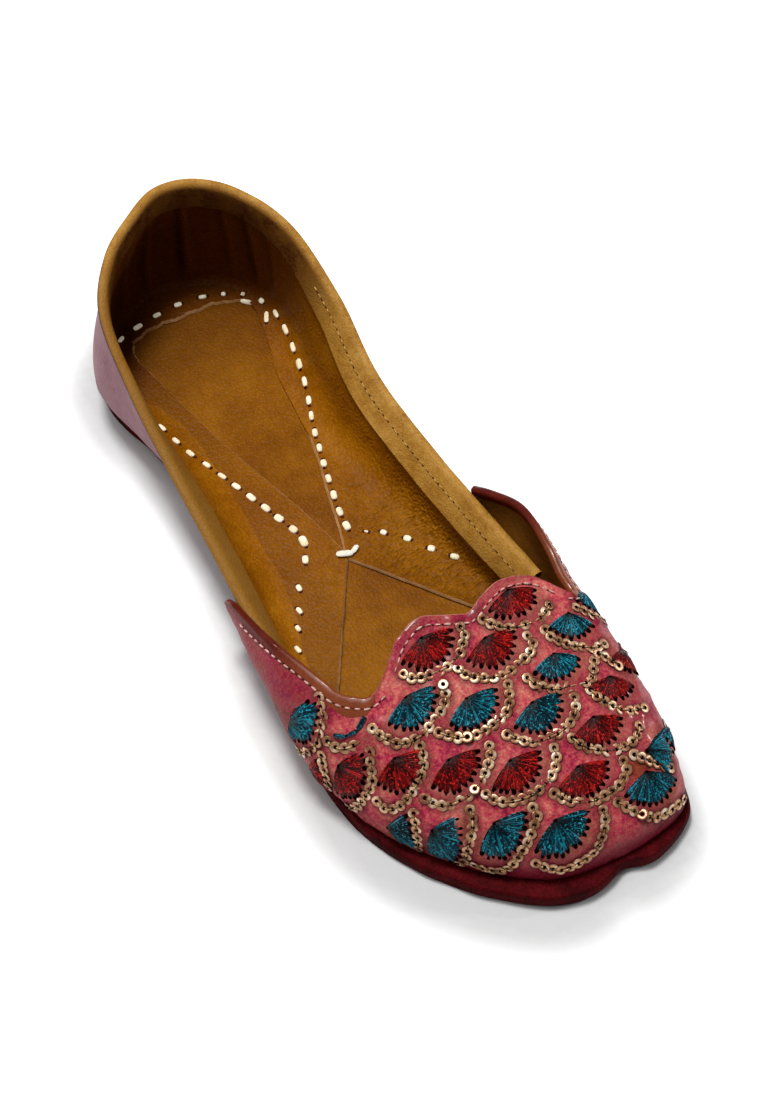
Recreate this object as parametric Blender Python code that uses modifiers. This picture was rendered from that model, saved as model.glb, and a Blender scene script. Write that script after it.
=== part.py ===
"""Jutti, the right shoe of a pair: a flat slip-on of leather with an embroidered vamp.

X runs from heel to toe, Y to the wearer's left (the inner side of a right foot), Z up.
The pattern tables are in millimetres for one pattern size and are graded by the driving sizes.
"""
import bpy
import bmesh
import numpy as np
from mathutils import Matrix, Vector

MM = 0.001

# Driving sizes, in mm
LENGTH = 250.0
BALL_WIDTH = 91.0
INSTEP_HEIGHT = 43.3
HEEL_HEIGHT = 55.3

# The sizes that the pattern tables below are drawn for, in mm
PATTERN_LENGTH = 250.0
PATTERN_BALL_WIDTH = 91.0
PATTERN_INSTEP_HEIGHT = 43.3
PATTERN_HEEL_HEIGHT = 55.3
GRADE_ALONG = LENGTH / PATTERN_LENGTH
GRADE_ACROSS = BALL_WIDTH / PATTERN_BALL_WIDTH
GRADE_INSTEP = INSTEP_HEIGHT / PATTERN_INSTEP_HEIGHT
GRADE_HEEL = HEEL_HEIGHT / PATTERN_HEEL_HEIGHT

# Leather thicknesses and the gap between pieces, in mm
SOLE_THICK = 4.8
SOLE_EDGE_ROUND = 0.7
INSOLE_THICK = 1.2
FLANGE_THICK = 0.8
VAMP_WALL = 1.8
QUARTER_WALL = 2.2
GAP = 0.3

# Profile of the sole from the side, in mm: the waist arches up a little and the toe springs up
ARCH_RISE, ARCH_START, ARCH_END = 1.2, -62.0, 20.0
SPRING_RISE, SPRING_START, SPRING_END = 1.2, 88.0, 125.0

# Outline of the sole: one row for each cross section from heel to toe.
# name, outer x, outer y, inner x, inner y, ledge of the sole outside the upper on each side
OUTLINE = (
    ("heel round", -119.3, -17.2, -119.0, 17.5, 1.5, 1.5),
    ("heel corner", -105.4, -31.0, -105.0, 30.8, 1.5, 1.5),
    ("heel seat", -88.0, -33.7, -88.0, 34.0, 1.3, 1.3),
    ("heel breast", -66.1, -29.1, -66.0, 30.8, 1.1, 1.1),
    ("waist", -38.0, -28.3, -38.0, 29.0, 1.0, 1.0),
    ("arch", -8.0, -31.5, -8.0, 33.5, 1.0, 1.0),
    ("ball rear", 24.0, -38.6, 24.0, 42.0, 1.0, 1.0),
    ("ball", 52.3, -40.2, 54.0, 48.3, 0.5, 1.0),
    ("ball front", 77.1, -38.0, 80.0, 49.4, 1.5, 1.4),
    ("toe shoulder", 97.9, -28.0, 104.1, 47.7, 3.4, 1.7),
    ("toe corner", 112.8, -15.5, 118.8, 41.9, 4.6, 1.8),
    ("toe round", 122.5, -2.2, 124.3, 29.8, 5.0, 3.6),
)
HEEL_BACK = (-124.6, 0.0, 1.6)
TOE_TIP = (125.7, 15.5, 5.0)
# The notch in the front edge of the sole: station, half width in stations, depth in mm
NOTCH_STATION, NOTCH_HALF_WIDTH, NOTCH_DEPTH = 13.15, 0.42, 3.4

# Sections of the vamp: one row for each fold line from the sole up to the throat.
# station on the outline, top x, y, z, lean of the wall, height of the wall,
# and the handle at the top: forward, across, down
VAMP = (
    (6.45, 5.8, -40.6, 26.6, 5.2, 9.0, 0.0, -2.0, 9.0),
    (7.00, 23.9, -39.4, 32.0, 5.0, 10.0, 0.0, -6.0, 9.0),
    (7.60, 40.0, -33.6, 36.0, 6.5, 12.0, 1.5, -13.0, 7.5),
    (8.20, 47.0, -23.7, 40.0, 10.5, 10.5, 6.0, -17.0, 7.5),
    (9.00, 46.5, -12.0, 42.0, 4.8, 14.5, 16.0, -15.0, 8.5),
    (10.00, 46.0, -4.0, 42.8, 2.5, 17.5, 27.0, -10.0, 10.5),
    (11.50, 46.0, 4.0, 43.2, 1.8, 16.5, 38.0, -4.0, 14.0),
    (13.00, 46.0, 9.5, 43.3, 1.5, 16.0, 42.0, 3.0, 15.5),
    (15.00, 46.0, 15.0, 43.2, 2.9, 17.0, 39.0, 9.0, 14.0),
    (16.00, 46.0, 22.0, 42.6, 4.8, 20.0, 30.0, 13.0, 11.0),
    (17.00, 47.5, 31.0, 41.0, 3.3, 22.0, 16.0, 13.0, 8.5),
    (18.00, 50.2, 38.0, 38.5, 2.2, 18.0, 4.0, 10.0, 9.0),
    (18.50, 42.3, 43.2, 36.5, 3.5, 14.0, 1.0, 6.0, 10.0),
    (19.00, 24.9, 45.4, 32.8, 3.5, 11.0, 0.0, 2.0, 10.0),
    (19.57, 7.8, 40.1, 26.8, 3.0, 9.0, 0.0, 1.0, 9.0),
)

# How far up its fold line the vamp is cut: wings, V cuts and the two scallops.
# station on the outline, share of the fold line; the two sides meet in a cusp at the middle station
THROAT_OUTER = (
    (6.45, 0.93), (6.53, 0.98), (6.65, 1.0), (7.30, 1.0), (7.60, 0.965), (8.00, 0.868),
    (8.40, 0.785), (8.65, 0.757),
    (9.00, 0.772), (9.25, 0.935), (9.50, 0.967), (9.75, 0.983), (10.25, 0.990), (11.0, 0.980),
    (12.0, 0.966), (13.0, 0.955),
)
THROAT_INNER = (
    (13.0, 0.955), (14.0, 0.960), (15.0, 0.971), (15.5, 0.978), (16.0, 0.984), (16.5, 0.982),
    (16.75, 0.974), (17.00, 0.938), (17.20, 0.82), (17.45, 0.765), (17.80, 0.80), (18.15, 0.90),
    (18.50, 1.0), (19.30, 1.0), (19.47, 0.985), (19.57, 0.95),
)
# Stations of the wing bindings, and how far past their front ends the throat is still cut lower
WING_OUTER = (6.50, 8.88)
WING_INNER = (17.54, 19.52)
CUT_BEYOND = 0.12

# Sections of the quarter, from the inner front end round the heel to the outer front end.
# station, top x, y, z, lean of the wall, height of the wall, flare at the top, drop of the handle
QUARTER = (
    (-7.6, 42.8, 40.2, 24.5, 1.5, 7.0, -2.0, 7.0),
    (-6.5, 9.7, 37.0, 25.0, 1.5, 7.0, -2.5, 7.0),
    (-6.0, -8.1, 35.6, 25.5, 1.5, 7.0, -2.5, 7.0),
    (-5.0, -38.0, 33.8, 29.5, 1.5, 8.0, -2.5, 8.0),
    (-4.0, -62.8, 35.2, 39.0, 1.5, 11.0, -1.5, 11.0),
    (-3.0, -86.0, 32.7, 49.5, 1.5, 14.0, 0.5, 14.0),
    (-2.0, -102.4, 26.0, 53.0, 1.5, 15.0, 2.0, 15.0),
    (-1.0, -113.5, 15.4, 55.0, 1.5, 15.0, 2.5, 15.0),
    (0.0, -117.0, 2.0, 55.3, 1.5, 15.0, 2.5, 15.0),
    (1.0, -111.2, -10.3, 54.5, 2.0, 15.0, 2.5, 15.0),
    (2.0, -101.7, -22.5, 52.5, 2.5, 15.0, 2.0, 15.0),
    (3.0, -86.1, -32.2, 48.0, 11.0, 10.0, 0.5, 14.0),
    (4.0, -62.8, -34.8, 38.0, 10.5, 7.5, -1.5, 11.0),
    (5.0, -38.0, -35.3, 29.5, 3.0, 7.0, -2.5, 8.0),
    (6.0, -8.0, -36.4, 25.0, 1.5, 7.0, -3.0, 7.0),
    (6.5, 9.4, -37.6, 24.5, 1.5, 7.0, -3.0, 7.0),
    (7.5, 41.7, -37.4, 21.0, 1.5, 7.0, -2.5, 7.0),
)

# Inner edge of the lining flange on the insole: station, x, y
FLANGE_EDGE = (
    (-7.3, 36.0, 28.0), (-6.8, 15.0, 12.8), (-6.3, -1.2, 2.8), (-6.0, -12.0, 5.2),
    (-5.0, -37.0, 12.0), (-4.0, -60.0, 17.3), (-3.0, -78.0, 22.5), (-2.2, -93.0, 25.4),
    (-1.5, -102.0, 23.0), (-0.8, -106.5, 13.0), (0.0, -107.5, 2.0), (0.8, -107.0, -10.0),
    (1.5, -104.5, -17.5), (2.2, -97.0, -18.9), (3.0, -81.0, -16.0), (4.0, -62.0, -12.5),
    (5.0, -37.0, -6.6), (6.0, -12.0, -0.6), (6.3, -1.2, 1.4), (6.8, 15.0, -9.4), (7.3, 36.0, -23.0),
)

# Cross section of the topline binding: place across the wall (mm), place below the edge (mm)
BINDING_FACE = 8.4
BINDING_SECTION = (
    (0.45, -0.35), (0.5, -1.3), (-0.7, -2.25), (-2.2, -2.0), (-3.2, -0.8), (-3.35, 0.5 * BINDING_FACE),
    (-3.35, BINDING_FACE), (-2.55, BINDING_FACE), (-2.55, 0.5 * BINDING_FACE), (-2.55, -0.35),
)
# The sole plates: rows of points up to a station near the toe, then one front edge round the toe
PLATE_FRONT, PLATE_ROWS, PLATE_COLUMNS, TOE_POINTS = 11.5, 47, 5, 31
QUARTER_STEPS = 73
WING_BEAD_RADIUS = 1.1
WING_BEAD_SIDES = 8

STATIONS = 2 * len(OUTLINE) + 2


def clear_scene():
    for item in list(bpy.data.objects):
        bpy.data.objects.remove(item, do_unlink=True)


def smooth(keys, rows, at):
    """Cubic curve through table rows, read at the given keys."""
    keys, rows, at = np.asarray(keys, float), np.asarray(rows, float), np.asarray(at, float)
    step = np.diff(keys)[:, None]
    slope = np.diff(rows, axis=0) / step
    tangent = np.empty_like(rows)
    tangent[1:-1] = (slope[:-1] * step[1:] + slope[1:] * step[:-1]) / (step[:-1] + step[1:])
    tangent[0], tangent[-1] = slope[0], slope[-1]
    i = np.clip(np.searchsorted(keys, at, side="right") - 1, 0, len(keys) - 2)
    width = (keys[i + 1] - keys[i])[:, None]
    t = (at - keys[i])[:, None] / width
    start = (2 * t**3 - 3 * t**2 + 1) * rows[i] + (t**3 - 2 * t**2 + t) * width * tangent[i]
    end = (-2 * t**3 + 3 * t**2) * rows[i + 1] + (t**3 - t**2) * width * tangent[i + 1]
    return start + end


def table(rows):
    data = np.array(rows, float)
    return data[:, 0], data[:, 1:]


def outline(station):
    """Point, outward direction and ledge of the sole outline; whole stations are table rows."""
    outer = [(row[1], row[2], row[5]) for row in OUTLINE]
    inner = [(row[3], row[4], row[6]) for row in reversed(OUTLINE)]
    ring = np.array([HEEL_BACK] + outer + [TOE_TIP] + inner)
    ring = ring * (GRADE_ALONG, GRADE_ACROSS, 1.0)
    looped = np.vstack([ring[-4:], ring, ring[:4]])
    chord = np.linalg.norm(np.diff(looped[:, :2], axis=0), axis=1)
    travel = np.concatenate([[0.0], np.cumsum(chord)])
    at = np.interp(np.asarray(station, float) % STATIONS, np.arange(-4, STATIONS + 4), travel)
    tangent = (smooth(travel, looped, at + 0.01) - smooth(travel, looped, at - 0.01))[:, :2]
    tangent /= np.linalg.norm(tangent, axis=1)[:, None]
    place = smooth(travel, looped, at)
    outward = np.stack([tangent[:, 1], -tangent[:, 0]], axis=1)
    away = (np.asarray(station, float) % STATIONS - NOTCH_STATION) / NOTCH_HALF_WIDTH
    notch = NOTCH_DEPTH * np.exp(-away**2)
    return place[:, :2] - outward * notch[:, None], outward, place[:, 2] - notch


def lift(x):
    """Height of the sole's underside above the floor along the shoe."""
    x = np.asarray(x, float) / GRADE_ALONG
    share = np.clip((x - ARCH_START) / (ARCH_END - ARCH_START), 0.0, 1.0)
    arch = ARCH_RISE * np.sin(np.pi * share) ** 2
    spring = SPRING_RISE * np.clip((x - SPRING_START) / (SPRING_END - SPRING_START), 0.0, None) ** 2
    return arch + spring


def under_wing(station):
    """1 where the quarter runs inside a wing of the vamp, 0 behind it."""
    away = np.minimum(station % STATIONS, STATIONS - station % STATIONS)
    return np.clip((away - 5.8) / 0.7, 0.0, 1.0)


def feather(station, inset):
    """The line where the upper meets the sole, moved in by an inset, with its outward direction."""
    place, outward, ledge = outline(station)
    flat = place - outward * (ledge + inset)[:, None]
    height = SOLE_THICK + GAP + lift(flat[:, 0])
    return np.column_stack([flat, height]), np.column_stack([outward, np.zeros(len(outward))])


def fold_line(foot, foot_handle, top_handle, top, share):
    """Cubic curves from the sole to the top, one row a station; share is (stations, steps)."""
    t = share[:, :, None]
    a, b, c, d = (p[:, None, :] for p in (foot, foot_handle, top_handle, top))
    return (1 - t)**3 * a + 3 * (1 - t)**2 * t * b + 3 * (1 - t) * t**2 * c + t**3 * d


def vamp_surface(station, share):
    keys, rows = table(VAMP)
    grade = (GRADE_ALONG, GRADE_ACROSS, GRADE_INSTEP, 1.0, GRADE_INSTEP, GRADE_ALONG, GRADE_ACROSS,
             GRADE_INSTEP)
    row = smooth(keys, rows * grade, station)
    foot, outward = feather(station, np.full(len(station), 0.6))
    top = row[:, :3]
    foot_handle = foot + outward * row[:, 3:4] + np.outer(row[:, 4], (0.0, 0.0, 1.0))
    top_handle = top + row[:, 5:8] * (1.0, 1.0, -1.0)
    return fold_line(foot, foot_handle, top_handle, top, share)


def quarter_surface(station, share):
    keys, rows = table(QUARTER)
    grade = (GRADE_ALONG, GRADE_ACROSS, GRADE_HEEL, 1.0, GRADE_HEEL, 1.0, GRADE_HEEL)
    row = smooth(keys, rows * grade, station)
    inset = 0.6 + (VAMP_WALL + 2 * GAP) * under_wing(station)
    foot, outward = feather(station, inset)
    top = row[:, :3]
    foot_handle = foot + outward * row[:, 3:4] + np.outer(row[:, 4], (0.0, 0.0, 1.0))
    top_handle = top + outward * row[:, 5:6] - np.outer(row[:, 6], (0.0, 0.0, 1.0))
    return fold_line(foot, foot_handle, top_handle, top, share)


def throat_share(station):
    """Where the throat cuts each fold line; under a wing's bead the edge is cut lower."""
    outer = smooth(*table(THROAT_OUTER), np.minimum(station, 13.0))[:, 0]
    inner = smooth(*table(THROAT_INNER), np.maximum(station, 13.0))[:, 0]
    cut = np.where(station < 13.0, outer, inner)
    bead = (station <= WING_OUTER[1] + CUT_BEYOND) | (station >= WING_INNER[0] - CUT_BEYOND)
    return cut - bead * drop_share(vamp_surface, station, cut, 2 * WING_BEAD_RADIUS)


def drop_share(surface, station, share, distance):
    """The part of a fold line that spans a distance (mm) just below a share."""
    span = surface(station, np.column_stack([share - 0.02, share]))
    return 0.02 * distance / np.linalg.norm(span[:, 1] - span[:, 0], axis=1)


def wall_frame(surface, station, share):
    """Point, outward normal and upward direction of a wall at one share for each station."""
    step = 0.01
    here = surface(station, share[:, None])[:, 0]
    above = here - surface(station, share[:, None] - step)[:, 0]
    ahead = surface(station + step, share[:, None])[:, 0] - here
    normal = np.cross(ahead, above)
    normal /= np.linalg.norm(normal, axis=1)[:, None]
    return here, normal, above / np.linalg.norm(above, axis=1)[:, None]


def new_object(name, mesh_data, material, collection):
    mesh = bpy.data.meshes.new(name)
    mesh_data.to_mesh(mesh)
    mesh_data.free()
    item = bpy.data.objects.new(name, mesh)
    collection.objects.link(item)
    item.data.materials.append(material)
    return item


def grid_mesh(points, merge_ends=False):
    """Quads over a (rows, columns, 3) array of points in mm."""
    made = bmesh.new()
    rows = [[made.verts.new(Vector(p) * MM) for p in row] for row in points]
    for lower, upper in zip(rows[:-1], rows[1:]):
        for a, b, c, d in zip(lower[:-1], lower[1:], upper[1:], upper[:-1]):
            made.faces.new((a, b, c, d))
    if merge_ends:
        bmesh.ops.remove_doubles(made, verts=made.verts, dist=0.00001)
    return made


def loop_mesh(sections):
    """A closed sweep over (stations, corners, 3) points in mm, capped at both ends."""
    made = bmesh.new()
    rings = [[made.verts.new(Vector(p) * MM) for p in ring] for ring in sections]
    count = len(rings[0])
    for near, far in zip(rings[:-1], rings[1:]):
        for k in range(count):
            made.faces.new((near[k], near[(k + 1) % count], far[(k + 1) % count], far[k]))
    made.faces.new(tuple(reversed(rings[0])))
    made.faces.new(tuple(rings[-1]))
    bmesh.ops.recalc_face_normals(made, faces=made.faces)
    return made


def thicken(item, thickness, side):
    """Give a sheet its thickness to one side of its faces: -1 behind them, +1 in front."""
    shell = item.modifiers.new("Thickness", "SOLIDIFY")
    shell.thickness = thickness * MM
    shell.offset = side
    shell.use_even_offset = True
    shell.use_rim = True


def round_edges(item, radius):
    edge = item.modifiers.new("Rounded edge", "BEVEL")
    edge.width = radius * MM
    edge.segments = 2
    edge.limit_method = "ANGLE"
    edge.angle_limit = 0.8


def plate_sheet(inset, height):
    """Sheet over the sole plan, moved in by an inset (station -> mm), at a height over the floor.

    Rows run from side to side; in front of the last row one face reaches to the toe's edge.
    """
    def edge(station):
        place, outward, ledge = outline(station)
        return place - outward * inset(station % STATIONS, ledge)[:, None]

    def raised(flat):
        return np.concatenate([flat, (height + lift(flat[..., 0]))[..., None]], axis=-1)

    station = np.linspace(0.0, PLATE_FRONT, PLATE_ROWS)
    share = np.linspace(0.0, 1.0, PLATE_COLUMNS)[None, :, None]
    rows = edge(station)[:, None, :] * (1 - share) + edge(STATIONS - station)[:, None, :] * share
    sheet = grid_mesh(raised(rows), merge_ends=True)
    front = edge(np.linspace(PLATE_FRONT, STATIONS - PLATE_FRONT, TOE_POINTS))[1:-1]
    last_row = [nearest(sheet, point) for point in raised(rows[-1:])[0]]
    toe = [sheet.verts.new(Vector(point) * MM) for point in raised(front)]
    sheet.faces.new(last_row + toe[::-1])
    bmesh.ops.recalc_face_normals(sheet, faces=sheet.faces)
    face_down(sheet)
    return sheet


def nearest(sheet, point):
    return min(sheet.verts, key=lambda vert: (vert.co - Vector(point) * MM).length)


def make_outsole(collection):
    def inset(station, ledge):
        return np.zeros(len(station))
    material = leather("dyed sole leather", (0.09, 0.008, 0.012))
    item = new_object("outsole", plate_sheet(inset, 0.0), material, collection)
    thicken(item, SOLE_THICK, -1)
    round_edges(item, SOLE_EDGE_ROUND)
    return item


def insole_inset(station, ledge):
    wing = under_wing(station) * (np.minimum(station, STATIONS - station) < 7.8)
    return ledge + 0.6 + QUARTER_WALL + 2 * GAP + (VAMP_WALL + 2 * GAP) * wing


def make_insole(collection):
    sheet = plate_sheet(insole_inset, SOLE_THICK + GAP)
    item = new_object("insole", sheet, leather("insole leather", (0.22, 0.08, 0.012)), collection)
    thicken(item, INSOLE_THICK, -1)
    return item


def make_flange(collection):
    keys, rows = table(FLANGE_EDGE)
    station = np.linspace(keys[0], keys[-1], 65)
    inner = smooth(keys, rows * (GRADE_ALONG, GRADE_ACROSS), station)
    place, outward, ledge = outline(station)
    outer = place - outward * (insole_inset(station % STATIONS, ledge) + 0.4)[:, None]
    share = np.linspace(0.0, 1.0, 3)[None, :, None]
    flat = outer[:, None, :] * (1 - share) + inner[:, None, :] * share
    height = SOLE_THICK + INSOLE_THICK + 2 * GAP + lift(flat[:, :, 0])
    sheet = grid_mesh(np.concatenate([flat, height[:, :, None]], axis=2))
    bmesh.ops.recalc_face_normals(sheet, faces=sheet.faces)
    face_down(sheet)
    item = new_object("lining_flange", sheet, leather("lining leather", (0.2, 0.07, 0.01)), collection)
    thicken(item, FLANGE_THICK, -1)
    return item


def face_down(sheet):
    sheet.normal_update()
    if sum(face.normal.z for face in sheet.faces) > 0:
        bmesh.ops.reverse_faces(sheet, faces=sheet.faces)


def face_out(sheet):
    """Turn a wall's faces to point away from the middle of the shoe."""
    sheet.normal_update()
    middle = Vector((0.0, 0.002, 0.02))
    if sum(face.normal.dot(face.calc_center_median() - middle) for face in sheet.faces) < 0:
        bmesh.ops.reverse_faces(sheet, faces=sheet.faces)


def make_quarter(collection):
    station = np.linspace(QUARTER[0][0], QUARTER[-1][0], QUARTER_STEPS)
    share = np.repeat(np.linspace(0.0, 1.0, 8)[None, :], len(station), axis=0)
    sheet = grid_mesh(quarter_surface(station, share))
    face_out(sheet)
    item = new_object("quarter", sheet, leather("quarter leather", (0.30, 0.05, 0.08)), collection)
    thicken(item, QUARTER_WALL, -1)
    return item


def make_topline_binding(collection):
    station = np.linspace(QUARTER[0][0], QUARTER[-1][0], QUARTER_STEPS)
    full = np.ones(len(station))
    corners = []
    for across, below in BINDING_SECTION:
        if below > 0.0:
            share = full - drop_share(quarter_surface, station, full, below)
            point, normal, up = wall_frame(quarter_surface, station, share)
            corners.append(point + normal * across)
        else:
            point, normal, up = wall_frame(quarter_surface, station, full)
            corners.append(point + normal * across - up * below)
    sheet = loop_mesh(np.stack(corners, axis=1))
    return new_object("topline_binding", sheet, leather("binding leather", (0.36, 0.15, 0.03)), collection)


def vamp_stations(count):
    """Stations along the vamp, closer together where the throat is cut steeply."""
    spread = np.array([(VAMP[0][0], 1.0), (8.3, 0.8), (9.1, 0.28), (9.6, 0.7), (12.0, 1.4), (13.0, 0.8),
                       (14.0, 1.4), (16.4, 0.9), (17.1, 0.28), (17.6, 0.6), (VAMP[-1][0], 1.0)])
    fine = np.linspace(spread[0, 0], spread[-1, 0], 2000)
    weight = np.cumsum(1.0 / np.interp(fine, spread[:, 0], spread[:, 1]))
    even = np.interp(np.linspace(weight[0], weight[-1], count), weight, fine)
    even[np.argmin(np.abs(even - 13.0))] = 13.0
    return even


def make_vamp(collection):
    station = vamp_stations(93)
    share = throat_share(station)[:, None] * np.linspace(0.0, 1.0, 10)[None, :]
    sheet = grid_mesh(vamp_surface(station, share))
    face_out(sheet)
    item = new_object("vamp", sheet, leather("vamp leather", (0.36, 0.05, 0.09)), collection)
    thicken(item, VAMP_WALL, -1)
    return item


def make_wing_binding(name, span, collection):
    station = np.linspace(span[0], span[1], 25)
    share = throat_share(station)
    point, normal, up = wall_frame(vamp_surface, station, share)
    off_edge = np.cross(normal, np.gradient(point, axis=0))
    off_edge *= np.sign(np.sum(off_edge * up, axis=1))[:, None]
    off_edge /= np.linalg.norm(off_edge, axis=1)[:, None]
    centre = point + off_edge * (WING_BEAD_RADIUS + GAP) - normal * 0.5 * VAMP_WALL
    turn = np.linspace(0.0, 2 * np.pi, WING_BEAD_SIDES, endpoint=False)[None, :, None]
    ring = normal[:, None, :] * np.cos(turn) + off_edge[:, None, :] * np.sin(turn)
    sheet = loop_mesh(centre[:, None, :] + WING_BEAD_RADIUS * ring)
    return new_object(name, sheet, leather("wing binding leather", (0.20, 0.05, 0.02)), collection)


def leather(name, colour):
    material = bpy.data.materials.get(name) or bpy.data.materials.new(name)
    material.use_nodes = True
    shader = material.node_tree.nodes["Principled BSDF"]
    shader.inputs["Base Color"].default_value = (*colour, 1.0)
    shader.inputs["Roughness"].default_value = 0.55
    return material


def settle(items):
    """Move the shoe so that the middle of its box stands on the floor at the origin."""
    bpy.context.view_layer.update()
    graph = bpy.context.evaluated_depsgraph_get()
    corners = []
    for item in items:
        mesh = item.evaluated_get(graph).data
        corners.extend(vertex.co.copy() for vertex in mesh.vertices)
    low = [min(c[k] for c in corners) for k in range(3)]
    high = [max(c[k] for c in corners) for k in range(3)]
    move = Vector((-(low[0] + high[0]) / 2, -(low[1] + high[1]) / 2, -low[2]))
    for item in items:
        item.data.transform(Matrix.Translation(move))
    print("moved by mm", [round(v / MM, 4) for v in move])


def main():
    clear_scene()
    shoe = bpy.data.collections.new("Jutti")
    bpy.context.scene.collection.children.link(shoe)
    items = [
        make_outsole(shoe),
        make_insole(shoe),
        make_flange(shoe),
        make_quarter(shoe),
        make_topline_binding(shoe),
        make_vamp(shoe),
        make_wing_binding("wing_binding_outer", WING_OUTER, shoe),
        make_wing_binding("wing_binding_inner", WING_INNER, shoe),
    ]
    settle(items)


main()
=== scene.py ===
"""Looks of a right-foot jutti: dyed leather, stitched insole, thread fans and sequins on the vamp.

Sizes and places are in millimetres in the maker's frame, X to the toe, Y to the inner side, Z up, unless a
comment says otherwise. A station counts the rows of the sole's outline from the back of the heel, up the
outer side to the toe and back down the inner side. A share runs up a wall from 0 at the sole to 1 on top.
"""

import bmesh
import bpy
import numpy as np
from mathutils import Matrix, Vector
from mathutils.bvhtree import BVHTree
from mathutils.kdtree import KDTree


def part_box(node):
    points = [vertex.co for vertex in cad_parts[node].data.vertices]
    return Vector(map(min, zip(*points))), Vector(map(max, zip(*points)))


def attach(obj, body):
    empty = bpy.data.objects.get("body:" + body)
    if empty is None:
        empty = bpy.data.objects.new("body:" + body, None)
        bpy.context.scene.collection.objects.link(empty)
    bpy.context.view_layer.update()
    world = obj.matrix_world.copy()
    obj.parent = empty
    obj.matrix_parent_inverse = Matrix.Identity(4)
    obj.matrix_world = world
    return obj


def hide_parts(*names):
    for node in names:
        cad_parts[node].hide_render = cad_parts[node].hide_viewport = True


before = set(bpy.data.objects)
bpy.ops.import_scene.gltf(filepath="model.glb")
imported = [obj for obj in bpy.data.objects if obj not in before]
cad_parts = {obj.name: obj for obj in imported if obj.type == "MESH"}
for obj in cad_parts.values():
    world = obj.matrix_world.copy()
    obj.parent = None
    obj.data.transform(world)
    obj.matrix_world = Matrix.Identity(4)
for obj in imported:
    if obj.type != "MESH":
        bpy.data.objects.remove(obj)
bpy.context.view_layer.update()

MM = 0.001
UP = np.array((0.0, 0.0, 1.0))

# Leather thicknesses, the gap between neighbours, and how far the upper stands in from the sole's ledge
SOLE_THICK = 4.8
INSOLE_THICK = 1.2
FLANGE_THICK = 0.8
VAMP_WALL = 1.8
QUARTER_WALL = 2.2
GAP = 0.3
SEAM_INSET = 0.6
INSOLE_SEAT = SOLE_THICK + GAP
FLANGE_SEAT = INSOLE_SEAT + INSOLE_THICK + GAP

# Side profile of the sole: rise of the arch and of the toe, and where along X each starts and ends
ARCH_RISE, ARCH_START, ARCH_END = 1.2, -62.0, 20.0
SPRING_RISE, SPRING_START, SPRING_END = 1.2, 88.0, 125.0

# Outline of the sole, one row a cross section: outer x, outer y, inner x, inner y, ledge on each side
OUTLINE = (
    (-119.3, -17.2, -119.0, 17.5, 1.5, 1.5),
    (-105.4, -31.0, -105.0, 30.8, 1.5, 1.5),
    (-88.0, -33.7, -88.0, 34.0, 1.3, 1.3),
    (-66.1, -29.1, -66.0, 30.8, 1.1, 1.1),
    (-38.0, -28.3, -38.0, 29.0, 1.0, 1.0),
    (-8.0, -31.5, -8.0, 33.5, 1.0, 1.0),
    (24.0, -38.6, 24.0, 42.0, 1.0, 1.0),
    (52.3, -40.2, 54.0, 48.3, 0.5, 1.0),
    (77.1, -38.0, 80.0, 49.4, 1.5, 1.4),
    (97.9, -28.0, 104.1, 47.7, 3.4, 1.7),
    (112.8, -15.5, 118.8, 41.9, 4.6, 1.8),
    (122.5, -2.2, 124.3, 29.8, 5.0, 3.6),
)
# The outline's two ends: x, y, ledge
HEEL_BACK = (-124.6, 0.0, 1.6)
TOE_TIP = (125.7, 15.5, 5.0)
STATIONS = 2 * len(OUTLINE) + 2
# The notch in the front edge of the sole: station, half width in stations, depth
NOTCH_STATION, NOTCH_HALF_WIDTH, NOTCH_DEPTH = 13.15, 0.42, 3.4
# The middle line that the sole boards are filled from ends here in front and behind, x
PLATE_SPINE = (-98.0, 98.0)
# Points round a board, rings from its middle to its edge, and points round its edge
PLATE_POINTS, PLATE_RINGS, PLATE_EDGE_STEPS = 640, 14, 13
# Rounding of the boards' upper edges
OUTSOLE_EDGE, INSOLE_EDGE = 0.9, 0.4
# Where the painted shade starts towards the heel and where it is darkest, x
HEEL_DARK = (-66.0, -104.0)

# Sections of the vamp: station, top x, y, z, lean and height of the wall, top handle x, y, down
VAMP = (
    (6.45, 5.8, -40.6, 26.6, 5.2, 9.0, 0.0, -2.0, 9.0),
    (7.00, 23.9, -39.4, 32.0, 5.0, 10.0, 0.0, -6.0, 9.0),
    (7.60, 40.0, -33.6, 36.0, 6.5, 12.0, 1.5, -13.0, 7.5),
    (8.20, 47.0, -23.7, 40.0, 10.5, 10.5, 6.0, -17.0, 7.5),
    (9.00, 46.5, -12.0, 42.0, 4.8, 14.5, 16.0, -15.0, 8.5),
    (10.00, 46.0, -4.0, 42.8, 2.5, 17.5, 27.0, -10.0, 10.5),
    (11.50, 46.0, 4.0, 43.2, 1.8, 16.5, 38.0, -4.0, 14.0),
    (13.00, 46.0, 9.5, 43.3, 1.5, 16.0, 42.0, 3.0, 15.5),
    (15.00, 46.0, 15.0, 43.2, 2.9, 17.0, 39.0, 9.0, 14.0),
    (16.00, 46.0, 22.0, 42.6, 4.8, 20.0, 30.0, 13.0, 11.0),
    (17.00, 47.5, 31.0, 41.0, 3.3, 22.0, 16.0, 13.0, 8.5),
    (18.00, 50.2, 38.0, 38.5, 2.2, 18.0, 4.0, 10.0, 9.0),
    (18.50, 42.3, 43.2, 36.5, 3.5, 14.0, 1.0, 6.0, 10.0),
    (19.00, 24.9, 45.4, 32.8, 3.5, 11.0, 0.0, 2.0, 10.0),
    (19.57, 7.8, 40.1, 26.8, 3.0, 9.0, 0.0, 1.0, 9.0),
)
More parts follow.
